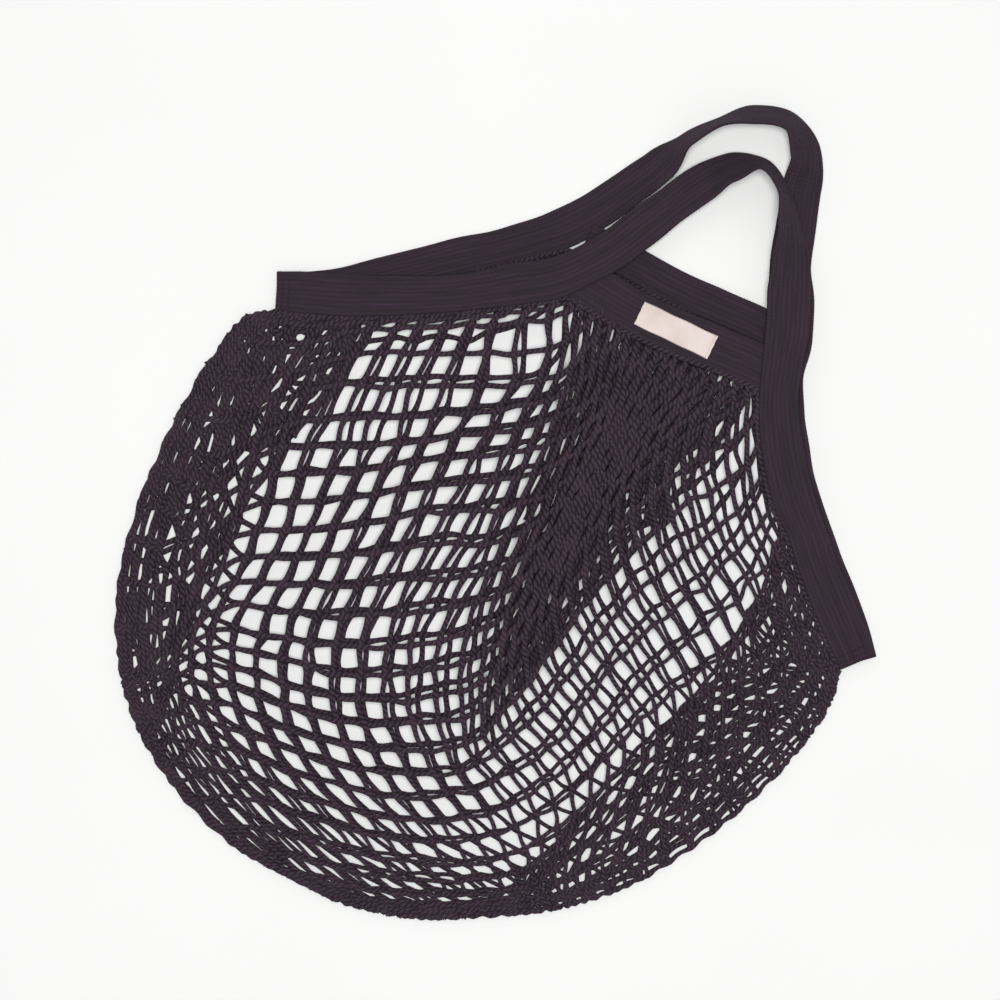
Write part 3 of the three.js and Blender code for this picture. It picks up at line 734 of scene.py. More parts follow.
    def knots(self, family: Family) -> tuple[Array, Array]:
        """Where the strings of one direction cross the others.

        A string's last knot is moved on to the mouth, where the two shares add up to 1 and the
        mouth's share.

        Args:
            family: The direction of the strings.
        Returns:
            The knots, a string a row, and which of them exist.
        """
        n, m = self.cells_across, self.cells_up
        i, j = np.meshgrid(np.arange(n + 1.0), np.arange(m + 1.0), indexing="ij")
        a, b = i.copy(), j.copy()
        if family is Family.UPRIGHT:
            limit = np.minimum(m * (1 + self.k - i / n), m)
            exists = b <= np.round(limit)
            j = np.where(b == np.round(limit), limit, j)
        else:
            limit = np.minimum(n * (1 + self.k - j / m), n)
            exists = a <= np.round(limit)
            i = np.where(a == np.round(limit), limit, i)
        u, v = a / n, b / m
        rng = np.random.default_rng(self.seed)
        loose = (a > 0) & (b > 0) & (a < n) & (b < m) & (u + v < 1 + self.k - 1 / m)
        if self.partner is not None:
            step_u, step_v = self.out_of_step(u, v)
            fade = rise(1 + self.k - u - v, 0, 0.08)
            if self.reach is Reach.SIDES:
                # the folded-in strings start on the rim and run between those of the front
                i = i + step_u * fade * ((a > 0) | (family is Family.UPRIGHT))
                j = j + step_v * fade * ((b > 0) | (family is Family.SLANTED))
            else:
                fade = fade * rise(u, 0, 0.08) * rise(v, 0, 0.08)
                i, j = i + step_u * fade, j + step_v * fade
        i = i + rng.normal(0, self.jitter, i.shape) * loose
        j = j + rng.normal(0, self.jitter, j.shape) * loose
        if self.reach is Reach.SIDES:
            left = np.interp(v, FOLDED_IN["share"], FOLDED_IN["left"]) - self.inset
            right = np.interp(u, FOLDED_IN["share"], FOLDED_IN["right"]) - self.inset
            exists &= (a <= left + 1) | (b <= right + 1)
            outside = (i > left) & (j > right)
            i = np.where(outside & (a <= left + 1), left, i)
            j = np.where(outside & (a > left + 1), right, j)
        points = self.place(np.clip(i, 0, n), np.clip(j, 0, m))
        if self.reach is Reach.PLEAT:
            x, y = points[..., 0], points[..., 1]
            left, right = (np.interp(y, PLEAT["y"], PLEAT[side]) for side in ("left", "right"))
            exists &= (x > left + self.inset) & (y > PLEAT["y"][0]) & (x < right + self.edge_turn)
            points[..., 0] = np.minimum(x, right)
        if family is Family.SLANTED:
            return points.transpose(1, 0, 2), exists.T
        return points, exists


def add_object(name: str, data: bpy.types.ID) -> bpy.types.Object:
    """Adds an object to the scene.

    Args:
        name: Its name.
        data: Its mesh, light or camera.
    Returns:
        The object, at the origin.
    """
    thing = bpy.data.objects.new(name, data)
    bpy.context.scene.collection.objects.link(thing)
    return thing


def uv_grid(u: Array, v: Array) -> Array:
    """Texture coordinates of a grid from u and v, each a row, a column or a grid."""
    return np.stack(np.broadcast_arrays(u, v), axis=-1)


@dataclass
class MeshParts:
    """Vertices, faces and texture coordinates of a piece that is put together from parts."""

    vertices: list[Array] = field(default_factory=list)
    quads: list[Array] = field(default_factory=list)
    quad_uvs: list[Array] = field(default_factory=list)
    caps: list[list[int]] = field(default_factory=list)
    count: int = 0

    def add_grid(self, grid: Array, uv: Array, closed: bool, capped: bool) -> None:
        """Adds a grid of points, rows along and columns around.

        Args:
            grid: Points with shape (rows, columns, 3).
            uv: Coordinates with shape (rows, columns + 1 where closed, 2).
            closed: Whether the last column meets the first.
            capped: Whether both end rings are filled.
        """
        rows, around = grid.shape[:2]
        spans = around if closed else around - 1
        k, s = np.meshgrid(np.arange(rows - 1), np.arange(spans), indexing="ij")
        nxt = (s + 1) % around
        base = self.count
        quad = np.stack(
            [k * around + s, k * around + nxt, (k + 1) * around + nxt, (k + 1) * around + s], -1
        )
        self.quads.append(quad.reshape(-1, 4) + base)
        corner = np.stack([uv[k, s], uv[k, s + 1], uv[k + 1, s + 1], uv[k + 1, s]], axis=2)
        self.quad_uvs.append(corner.reshape(-1, 2))
        if capped:
            last = (rows - 1) * around + base
            self.caps.append([base + n for n in range(around - 1, -1, -1)])
            self.caps.append([last + n for n in range(around)])
        self.vertices.append(grid.reshape(-1, 3))
        self.count += rows * around

    def build(self, name: str) -> bpy.types.Object:
        """Makes the mesh object, smooth shaded, with its UV map.

        Args:
            name: The piece's name.
        Returns:
            The object, at the origin.
        """
        points = (np.vstack(self.vertices) + np.array(PLAN_SHIFT)) * MM
        faces = np.vstack(self.quads).tolist() + self.caps
        mesh = bpy.data.meshes.new(name)
        mesh.from_pydata(points.tolist(), [], faces)
        extra = sum(len(cap) for cap in self.caps)
        uvs = np.vstack(self.quad_uvs + [np.zeros((extra, 2))])
        mesh.uv_layers.new(name="run").data.foreach_set("uv", uvs.ravel())
        mesh.polygons.foreach_set("use_smooth", np.ones(len(faces), bool))
        mesh.update()
        return add_object(name, mesh)


def tube(
    parts: MeshParts, line: Array, half_width: Array | float, half_height: Array | float,
    sides: int = 8, phase: float = 0.0,
) -> None:
    """Adds a string: an ellipse carried along a line, its wide axis lying level.

    Args:
        parts: The mesh that it goes into.
        line: Centre points in millimetres.
        half_width: Half its width at each point.
        half_height: Half its height at each point.
        sides: Points round the string.
        phase: Start of its twist, added to the coordinate along it.
    """
    ahead = unit(np.gradient(line, axis=0))
    level = unit(np.cross(UPWARD, ahead))
    up = np.cross(ahead, level)
    angle = 2 * np.pi * np.arange(sides) / sides
    wide = np.broadcast_to(half_width, len(line))[:, None, None]
    high = np.broadcast_to(half_height, len(line))[:, None, None]
    cos, sin = np.cos(angle)[None, :, None], np.sin(angle)[None, :, None]
    grid = line[:, None] + level[:, None] * wide * cos + up[:, None] * high * sin
    uv = uv_grid((run_length(line) + phase)[:, None], (np.arange(sides + 1) / sides)[None])
    parts.add_grid(grid, uv, closed=True, capped=True)


@dataclass
class StringNet:
    """All the strings of one layer in one direction, crossing the others over and under.

    They lie flat and wide where the net is slack, and thinner where they crowd (crowded_width is
    the share left at crowded_gap, growing to 1 over slack_span) and low down (the share falls
    to low_width over low_span below low_row, shares of the left outline). Each crossing is
    thicker by swell, as the two strings are looped together there.
    """

    layer: NetLayer
    family: Family
    half_width: float = 1.50
    half_height: float = 0.85
    crowded_width: float = 0.70
    crowded_gap: float = 4.5
    slack_span: float = 9.0
    low_width: float = 0.74
    low_row: float = 0.44
    low_span: float = 0.20
    wave: float = 0.35
    per_cell: int = 7
    swell: float = 0.38
    knot_span: float = 0.16
    uneven: float = 0.05
    scallop: float = 1.1
    seed: int = 11

    def build(self, name: str) -> bpy.types.Object:
        """Carries a string through every row of crossings.

        Args:
            name: The piece's name.
        Returns:
            The mesh object.
        """
        points, exists = self.layer.knots(self.family)
        slack = self.slack(points)
        rng = np.random.default_rng(self.seed + self.family.value)
        parts = MeshParts()
        for number, nodes, share in self.strings(points, exists, slack):
            line = through_points(nodes, self.per_cell)
            t = np.arange(len(line)) / self.per_cell
            share = np.interp(t, np.arange(len(nodes)), share)
            line = self.waved(line, t, number, rng)
            thick = 1 + self.swell * bell(t - np.round(t), self.knot_span)
            thick = thick * (1 + self.uneven * np.sin(2.1 * t + rng.uniform(0, 6)))
            wide = self.half_width * thick * share
            tube(parts, line, wide, self.half_height * thick, phase=rng.uniform(0, 9))
        return parts.build(name)

    def slack(self, points: Array) -> Array:
        """Share of the full width that a string has at each knot.

        Args:
            points: The knots, a string a row.
        Returns:
            The shares.
        """
        gaps = np.linalg.norm(np.diff(points[..., :2], axis=0), axis=-1)
        gaps = (np.vstack([gaps[:1], gaps]) + np.vstack([gaps, gaps[-1:]])) / 2
        slack = rise(gaps, self.crowded_gap, self.slack_span)
        slack = self.crowded_width + (1 - self.crowded_width) * slack
        row = np.indices(slack.shape)[1 - self.family.value] / self.layer.cells_up
        return np.minimum(slack, 1 - (1 - self.low_width) * fall(row, self.low_row, self.low_span))

    def strings(
        self, points: Array, exists: Array, slack: Array
    ) -> Iterator[tuple[int, Array, Array]]:
        """The unbroken runs of at least three knots in each row.

        Args:
            points: The knots, a row a line of the net.
            exists: Which of them exist.
            slack: Share of the full width that the string has at each.
        Returns:
            The number of the row, the knots of each run and their shares of the width.
        """
        for number, (row, kept) in enumerate(zip(points, exists)):
            turns = np.flatnonzero(np.diff(np.concatenate([[0], kept.astype(int), [0]])))
            for start, end in turns.reshape(-1, 2):
                if end - start > 2:
                    yield number, row[start:end], slack[number, start:end]

    def waved(self, line: Array, t: Array, number: int, rng: np.random.Generator) -> Array:
        """Lifts the string over and under the others and gives it a slight wander.

        Args:
            line: The string's centre points.
            t: Cells run at each point.
            number: Which string it is.
            rng: Source of the wander.
        Returns:
            The new centre points.
        """
        turn = 1 if self.family is Family.UPRIGHT else -1
        line = line.copy()
        line[:, 2] += NET_THICKNESS / 2 + turn * self.wave * np.cos(np.pi * (t + number))
        ahead = unit(np.gradient(line[:, :2], axis=0))
        normal = np.column_stack([-ahead[:, 1], ahead[:, 0]])
        a, b = rng.uniform(0, 6, 2)
        # millimetres aside, over a little more than one cell and over a little more than two
        wander = 0.35 * np.sin(1.7 * np.pi * t + a) + 0.25 * np.sin(0.9 * np.pi * t + b)
        if number == 0:
            # the outermost string is held at its crossings and drawn in between them
            inward = -1 if self.family is Family.UPRIGHT else 1
            wander = inward * self.scallop * np.sin(np.pi * t) ** 2
        line[:, :2] += normal * wander[:, None]
        return line


@dataclass
class KnitBand:
    """A ribbed knit band: flat, rounded at both edges, with ribs along it on both faces."""

    run: BandRun
    start: float = 0.0
    end: float = 1.0
    ribs: int = 9
    rib_height: float = 0.12
    step: float = 2.0
    per_rib: int = 6
    seed: int = 5

    def build(self, name: str) -> bpy.types.Object:
        """Carries the ribbed section along the run.

        The half thickness at s across, from -1 to 1, is a flattened arch, and each rib adds the
        root of a sine's size.

        Args:
            name: The piece's name.
        Returns:
            The mesh object.
        """
        count = int(self.run.length * (self.end - self.start) / self.step)
        u = np.linspace(self.start, self.end, count)
        centre, across, through, _, width = self.run.stations(u)
        rng = np.random.default_rng(self.seed)
        a, b, c = rng.uniform(0, 6, 3)
        length = u * self.run.length
        # the width wavers by 1 % over about 70 mm and by 0.8 % over about 30 mm
        width = width * (1 + 0.010 * np.sin(length / 11 + a) + 0.008 * np.sin(length / 4.7 + b))
        s = np.linspace(-1, 1, self.ribs * self.per_rib + 1)
        arch = (1 - np.abs(s) ** 9) ** 0.5
        rib = np.abs(np.sin(np.pi * self.ribs * (s + 1) / 2)) ** 0.7
        height = arch * (BAND_THICKNESS / 2 - self.rib_height + self.rib_height * rib)
        across_s = np.concatenate([s[::-1], s[1:-1]])
        lift = np.concatenate([height[::-1], -height[1:-1]])
        # the band ripples by 0.15 mm over about 107 mm, one edge up and the other down
        ripple = 0.25 * np.sin(length / 17 + c)[:, None] * np.sin(2.2 * across_s)[None, :]
        grid = centre[:, None] + across[:, None] * (
            across_s[None, :, None] * (width / 2)[:, None, None]
        )
        grid = grid + through[:, None] * (lift[None, :] + ripple * 0.6)[..., None]
        wale = np.concatenate([s[::-1], s[1:-1], s[-1:]]) * self.ribs / 2 + self.ribs / 2
        parts = MeshParts()
        parts.add_grid(grid, uv_grid(wale[None], length[:, None]), closed=True, capped=True)
        return parts.build(name)


@dataclass
class HemCord:
    """The rolled seam that joins the net to a band: a lumpy string along the net's edge."""

    edge: Array
    half_width: float = 1.5
    half_height: float = 1.0
    pitch: float = 3.4
    lump: float = 0.16
    step: float = 0.7

    def build(self, name: str) -> bpy.types.Object:
        """Carries a string along the edge whose size swells by a sine once a stitch.

        Args:
            name: The piece's name.
        Returns:
            The mesh object.
        """
        total = float(np.linalg.norm(np.diff(self.edge, axis=0), axis=1).sum())
        u = np.linspace(0, 1, int(total / self.step))
        points = Line(self.edge).at(u)
        points[:, 2] += NET_THICKNESS / 2
        length = u * total
        thick = 1 + self.lump * np.sin(2 * np.pi * length / self.pitch)
        parts = MeshParts()
        tube(parts, points, self.half_width * thick, self.half_height * thick)
        return parts.build(name)


def stitch_rows(
    parts: MeshParts, starts: Array, ends: Array, height: float, radius: float
) -> None:
    """Adds stitches: each a short string that rises as half a sine between its two holes.

    Args:
        parts: The mesh that they go into.
        starts: First holes.
        ends: Second holes.
        height: Height of the stitch over its holes.
        radius: Thread radius.
    """
    samples, sides, sunk = 7, 6, 0.25
    t = np.linspace(0, 1, samples)
    for a, b in zip(starts, ends):
        line = a + (b - a) * t[:, None]
        line[:, 2] += height * np.sin(np.pi * t) - sunk
        tube(parts, line, radius, radius, sides)


@dataclass
class JoinStitches:
    """Rows of stitches across a band, where another is sewn to it."""

    run: BandRun
    spots: tuple[float, ...]
    length: float = 2.4
    pitch: float = 3.0
    margin: float = 2.2
    radius: float = 0.30
    height: float = 0.35
    lift: float = 1.25

    def build(self, name: str) -> bpy.types.Object:
        """Lays stitches across the band at each spot.

        Args:
            name: The piece's name.
        Returns:
            The mesh object.
        """
        parts = MeshParts()
        for u in self.spots:
            centre, across, through, _, width = self.run.stations(np.array([u]))
            reach = width[0] / 2 - self.margin
            middle = np.arange(-reach, reach + 0.01, self.pitch)
            base = centre[0] + through[0] * self.lift
            starts = base + across[0] * (middle - self.length / 2)[:, None]
            ends = base + across[0] * (middle + self.length / 2)[:, None]
            stitch_rows(parts, starts, ends, self.height, self.radius)
        return parts.build(name)


@dataclass
class WovenLabel:
    """The small woven label: a ribbon with folded ends that lies on the front mouth band."""

    run: BandRun
    along: float = 0.515
    across: float = 0.2
    turn: float = -3.0
    length: float = 45.0
    width: float = 14.2
    thickness: float = 0.8
    lift: float = 0.25
    rows: int = 91
    columns: int = 21
    stitch_inset: float = 1.6
    stitch_span: float = 5.6
    stitch_pitch: float = 2.25
    stitch_half: float = 0.8
    stitch_height: float = 0.35
    thread: float = 0.2

    def frame(self) -> tuple[Array, Array, Array]:
        """Where the label lies.

        Returns:
            Its middle and the plan directions along and across it.
        """
        centre, _, _, aside, _ = self.run.stations(np.array([self.along]))
        angle = math.atan2(aside[0, 1], aside[0, 0]) - math.pi / 2 + math.radians(self.turn)
        lengthwise = np.array([math.cos(angle), math.sin(angle), 0.0])
        crosswise = np.array([-math.sin(angle), math.cos(angle), 0.0])
        middle = centre[0] + aside[0] * self.across
        middle[2] += BAND_THICKNESS / 2 + self.thickness / 2 + self.lift
        return middle, lengthwise, crosswise

    def build(self, name: str) -> bpy.types.Object:
        """A rounded ribbon whose ends, over the folds, are thicker and whose edges wave.

        Args:
            name: The piece's name.
        Returns:
            The mesh object.
        """
        middle, lengthwise, crosswise = self.frame()
        a = np.linspace(-1, 1, self.rows)
        side = np.linspace(-1, 1, self.columns)
        around = np.concatenate([side[::-1], side[1:-1]])
        top = np.concatenate([np.ones(self.columns), -np.ones(self.columns - 2)])
        # long edges and ends are rounded off, and the folds at the ends lift the ribbon by 12 %
        edge = (1 - np.abs(around) ** 12) ** 0.5
        end = np.clip((1 - np.abs(a) ** 30), 0, 1) ** 0.5
        fold = 0.12 * rise(np.abs(a), 0.86, 0.04)
        half = (self.thickness / 2) * (0.75 + fold)
        # it waves by 0.18 mm, most at its edges, which wander by 0.1 mm
        wave = 0.18 * np.sin(5.2 * a + 0.6)[:, None] * (0.5 + 0.5 * np.abs(around))[None]
        x = a[:, None] * self.length / 2 + 0.10 * np.sin(9 * around)[None]
        y = around[None] * (self.width / 2 + 0.12 * np.sin(7.5 * a)[:, None])
        z = wave + (half * end)[:, None] * (top * edge)[None]
        grid = middle + x[..., None] * lengthwise + y[..., None] * crosswise
        grid[..., 2] += z
        closing = np.concatenate([around, around[:1]])
        uv = uv_grid(a[:, None] * self.length / 2, closing[None] * self.width / 2)
        parts = MeshParts()
        parts.add_grid(grid, uv, closed=True, capped=True)
        return parts.build(name)

    def stitches(self, name: str) -> bpy.types.Object:
        """Two rows of stitches that hold the label's short ends.

        Args:
            name: The piece's name.
        Returns:
            The mesh object.
        """
        middle, lengthwise, crosswise = self.frame()
        parts = MeshParts()
        y = np.arange(-self.stitch_span, self.stitch_span + 0.1, self.stitch_pitch)
        for end in (-1, 1):
            base = middle + lengthwise * end * (self.length / 2 - self.stitch_inset)
            base = base + UPWARD * (self.thickness / 2 + 0.05)
            starts = base + crosswise * (y - self.stitch_half)[:, None]
            ends = base + crosswise * (y + self.stitch_half)[:, None]
            stitch_rows(parts, starts, ends, self.stitch_height, self.thread)
        return parts.build(name)


def linear(colour: str) -> tuple[float, float, float, float]:
    """An sRGB hex colour as linear light.

    Args:
        colour: Six hex digits.
    Returns:
        Red, green, blue and 1.
    """
    parts = [int(colour[k : k + 2], 16) / 255 for k in (0, 2, 4)]
    r, g, b = (c / 12.92 if c <= 0.04045 else ((c + 0.055) / 1.055) ** 2.4 for c in parts)
    return r, g, b, 1.0


def add_node(
    tree: bpy.types.NodeTree, kind: str, inputs: dict, **settings: object
) -> bpy.types.Node:
    """Adds a node with its settings, values and links.

    Args:
        tree: The material's node tree.
        kind: The node's type, without the words that all shader nodes start with.
        inputs: A value for an input, or a socket or node to link to it, by its name or number.
        settings: Attributes of the node, or stops: the places and hex colours of a colour ramp.
    Returns:
        The node.
    """
    node = tree.nodes.new(f"ShaderNode{kind}")
    for place, (position, colour) in enumerate(settings.pop("stops", ())):
        stop = node.color_ramp.elements[place]
        stop.position, stop.color = position, linear(colour)
    for key, value in settings.items():
        setattr(node, key, value)
    for key, value in inputs.items():
        value = value.outputs[0] if isinstance(value, bpy.types.Node) else value
        if isinstance(value, bpy.types.NodeSocket):
            tree.links.new(value, node.inputs[key])
        else:
            node.inputs[key].default_value = value
    return node


def new_material(name: str) -> tuple[bpy.types.Material, bpy.types.NodeTree, bpy.types.Node]:
    """An empty material.

    Args:
        name: The material's name.
    Returns:
        The material, its node tree and its shader.
    """
    material = bpy.data.materials.new(name)
    material.use_nodes = True
    return material, material.node_tree, material.node_tree.nodes["Principled BSDF"]


@dataclass(frozen=True)
class Textile:
    """What the bag's textiles share: a rough surface with a fine relief, and a bloom of fibre
    ends that lightens it at a low angle."""

    roughness: float = 0.95
    bump: float = 0.5
    relief: float = 0.0003
    specular: float = 0.25
    sheen: float = 0.12
    sheen_tint: str = "8A7484"

    def make(self, name: str) -> bpy.types.Material:
        """Builds the material from its pattern.

        Args:
            name: The material's name.
        Returns:
            The material.
        """
        material, tree, shader = new_material(name)
        spot = add_node(tree, "TexCoord", {})
        run = add_node(tree, "SeparateXYZ", {0: spot.outputs["UV"]})
        colour, height = self.pattern(tree, spot, run)
        bump = {"Strength": self.bump, "Distance": self.relief, "Height": height}
        normal = add_node(tree, "Bump", bump)
        tree.links.new(colour, shader.inputs["Base Color"])
        tree.links.new(normal.outputs[0], shader.inputs["Normal"])
        for socket, value in (
            ("Roughness", self.roughness), ("Specular IOR Level", self.specular),
            ("Sheen Weight", self.sheen), ("Sheen Tint", linear(self.sheen_tint)),
        ):
            shader.inputs[socket].default_value = value
        return material

    def pattern(
        self, tree: bpy.types.NodeTree, spot: bpy.types.Node, run: bpy.types.Node
    ) -> tuple[bpy.types.NodeSocket, bpy.types.Node]:
        """Each textile builds its own nodes here, for its colour and its height."""
        raise NotImplementedError


@dataclass(frozen=True)
class PliedCotton(Textile):
    """Plied cotton string, piece dyed: matt, with the twist of its plies showing as slanting
    stripes of painted highlight on their crests, and patches where the dye took lighter or darker."""

    dark: str = "1B141A"
    base: str = "33272F"
    # light: the painted highlight on the crests of the plies
    light: str = "544354"
    ply_pitch: float = 3.2  # millimetres of run in which the plies twist once
    patch_scale: float = 72.0  # a patch is 1000 / 72 = 14 mm across
    fibre_scale: float = 2400.0  # fibre ends are 0.4 mm apart, coarser than real, so they show

    def pattern(
        self, tree: bpy.types.NodeTree, spot: bpy.types.Node, run: bpy.types.Node
    ) -> tuple[bpy.types.NodeSocket, bpy.types.Node]:
        """Plies: the sine of the share of a twist run, plus two turns round the string; their
        crests get painted highlight.

        Args:
            tree: The material's node tree.
            spot: The texture coordinates.
            run: Their UV map as single numbers.
        Returns:
            The colour's socket and the node of the relief's height.
        """
        share = {0: run.outputs["X"], 1: self.ply_pitch}
        share = add_node(tree, "Math", share, operation="DIVIDE")
        turn = {0: run.outputs["Y"], 1: 2.0, 2: share}
        turn = add_node(tree, "Math", turn, operation="MULTIPLY_ADD")
        angle = add_node(tree, "Math", {0: turn, 1: 2 * math.pi}, operation="MULTIPLY")
        ply = add_node(tree, "Math", {0: angle}, operation="SINE")
        place = {"Vector": spot.outputs["Object"]}
        patch = {"Scale": self.patch_scale, "Detail": 3.0, "Roughness": 0.6}
        patch = add_node(tree, "TexNoise", place | patch)
        fibre = add_node(tree, "TexNoise", place | {"Scale": self.fibre_scale, "Detail": 2.0})
        stops = ((0.36, self.dark), (0.66, self.base))
        dye = add_node(tree, "ValToRGB", {0: patch}, stops=stops)
        # painted highlight: the crests of the plies are lightened toward the light colour, by up
        # to 60 %
        ply_highlight = add_node(tree, "MapRange", {"Value": ply, 1: -1.0, 2: 1.0, 3: 0.0, 4: 0.6})
        mixed = {0: ply_highlight, 6: dye, 7: linear(self.light)}
        colour = add_node(tree, "Mix", mixed, data_type="RGBA")
        height = add_node(tree, "Math", {0: fibre, 1: 0.8, 2: ply}, operation="MULTIPLY_ADD")
        return colour.outputs[2], height


@dataclass(frozen=True)
class RibKnit(Textile):
    """Rib-knit cotton tape: wales of small V stitches run along it, with painted shade in the
    grooves between them, and with the dye worn a little lighter and more purple in streaks."""

    roughness: float = 0.93
    bump: float = 0.55
    relief: float = 0.00035
    sheen: float = 0.10
    sheen_tint: str = "8C7488"
    # the painted shade in the grooves between the wales
    groove_shade: str = "2C2229"
    base: str = "31272F"
    worn: str = "3F2F3D"
    course: float = 2.1  # millimetres of run in a stitch, coarser than real, so that it shows
    streak_scale: tuple[float, float, float] = (0.9, 0.025, 1.0)  # about 3 by 40 mm
    fibre_scale: float = 2200.0  # fibre ends are 0.45 mm apart, coarser than real, so they show

    def pattern(
        self, tree: bpy.types.NodeTree, spot: bpy.types.Node, run: bpy.types.Node
    ) -> tuple[bpy.types.NodeSocket, bpy.types.Node]:
        """Stitches: the sine of the courses run plus the distance from the wale's middle, which
        bends the courses into a V.

        Args:
            tree: The material's node tree.
            spot: The texture coordinates.
            run: Their UV map as single numbers.
        Returns:
            The colour's socket and the node of the relief's height.
        """
        inside = add_node(tree, "Math", {0: run.outputs["X"]}, operation="FRACT")
        centred = {0: inside, 1: 2.0, 2: -1.0}
        centred = add_node(tree, "Math", centred, operation="MULTIPLY_ADD")
        off = add_node(tree, "Math", {0: centred}, operation="ABSOLUTE")
        share = add_node(tree, "Math", {0: run.outputs["Y"], 1: self.course}, operation="DIVIDE")
        slant = add_node(tree, "Math", {0: off, 1: 0.6, 2: share}, operation="MULTIPLY_ADD")
        angle = add_node(tree, "Math", {0: slant, 1: 2 * math.pi}, operation="MULTIPLY")
        stitch = add_node(tree, "Math", {0: angle}, operation="SINE")
        stretched = {"Vector": spot.outputs["UV"], "Scale": self.streak_scale}
        stretched = add_node(tree, "Mapping", stretched)
        streak = {"Vector": stretched, "Scale": 1.0, "Detail": 4.0, "Roughness": 0.6}
        streak = add_node(tree, "TexNoise", streak)
        fibre = {"Vector": spot.outputs["Object"], "Scale": self.fibre_scale, "Detail": 2.0}
        fibre = add_node(tree, "TexNoise", fibre)
        stops = ((0.35, self.base), (0.68, self.worn))
        dye = add_node(tree, "ValToRGB", {0: streak}, stops=stops)
        # painted shade: toward the wale's edges the colour darkens to the groove shade, by up to
        # 60 %
        shade = {"Value": off, 1: 0.5, 2: 1.0, 3: 0.0, 4: 0.6}
        shade = add_node(tree, "MapRange", shade, interpolation_type="SMOOTHSTEP")
        mixed = {0: shade, 6: dye, 7: linear(self.groove_shade)}
        colour = add_node(tree, "Mix", mixed, data_type="RGBA")
        height = add_node(tree, "Math", {0: fibre, 1: 0.7, 2: stitch}, operation="MULTIPLY_ADD")
        return colour.outputs[2], height


@dataclass(frozen=True)
class WovenTape(Textile):
    """Woven satin tape, undyed: pale, faintly pink and a little glossy, with fine crossing
    threads."""

    roughness: float = 0.62
    bump: float = 0.4
    relief: float = 0.00015
    specular: float = 0.5
    sheen: float = 0.15
    sheen_tint: str = "FFFFFF"
    base: str = "EADBD5"
    thread: str = "D9C7C0"
    thread_pitch: float = 0.9  # millimetres, coarser than the real 0.3, so that it shows
    cloud_scale: float = 60.0  # clouds are 1000 / 60 = 17 mm across

    def pattern(
        self, tree: bpy.types.NodeTree, spot: bpy.types.Node, run: bpy.types.Node
    ) -> tuple[bpy.types.NodeSocket, bpy.types.Node]:
        """Threads: two sines at right angles, multiplied.

        Args:
            tree: The material's node tree.
            spot: The texture coordinates.
            run: Their UV map as single numbers.
        Returns:
            The colour's socket and the node of the relief's height.
        """
        waves = []
        for axis, factor in (("X", 0.7), ("Y", 1.0)):
            rate = 2 * math.pi / self.thread_pitch * factor
            angle = add_node(tree, "Math", {0: run.outputs[axis], 1: rate}, operation="MULTIPLY")
            waves.append(add_node(tree, "Math", {0: angle}, operation="SINE"))
        weave = add_node(tree, "Math", {0: waves[0], 1: waves[1]}, operation="MULTIPLY")
        cloud = {"Vector": spot.outputs["Object"], "Scale": self.cloud_scale, "Detail": 2.0}
        cloud = add_node(tree, "TexNoise", cloud)
        mixed = add_node(tree, "Math", {0: weave, 1: 0.22, 2: cloud}, operation="MULTIPLY_ADD")
        stops = ((0.25, self.thread), (0.6, self.base))
        dye = add_node(tree, "ValToRGB", {0: mixed}, stops=stops)
        return dye.outputs["Color"], weave


@dataclass(frozen=True)
class PaintedBoard:
    """Matt white painted board under the bag: almost even, with a faint mottle."""

    base: str = "FBFBFA"
    mottle: str = "F6F6F5"
    mottle_scale: float = 6.0  # 1000 / 6 = 170 mm across

    def make(self, name: str) -> bpy.types.Material:
        """Builds the material from two close whites.

        Args:
            name: The material's name.
        Returns:
            The material.
        """
        material, tree, shader = new_material(name)
        spot = add_node(tree, "TexCoord", {})
        cloud = {"Vector": spot.outputs["Object"], "Scale": self.mottle_scale}
        cloud = add_node(tree, "TexNoise", cloud)
        mixed = {0: cloud, 6: linear(self.base), 7: linear(self.mottle)}
        colour = add_node(tree, "Mix", mixed, data_type="RGBA")
        tree.links.new(colour.outputs[2], shader.inputs["Base Color"])
        shader.inputs["Roughness"].default_value = 0.9
        shader.inputs["Specular IOR Level"].default_value = 0.1
        return material


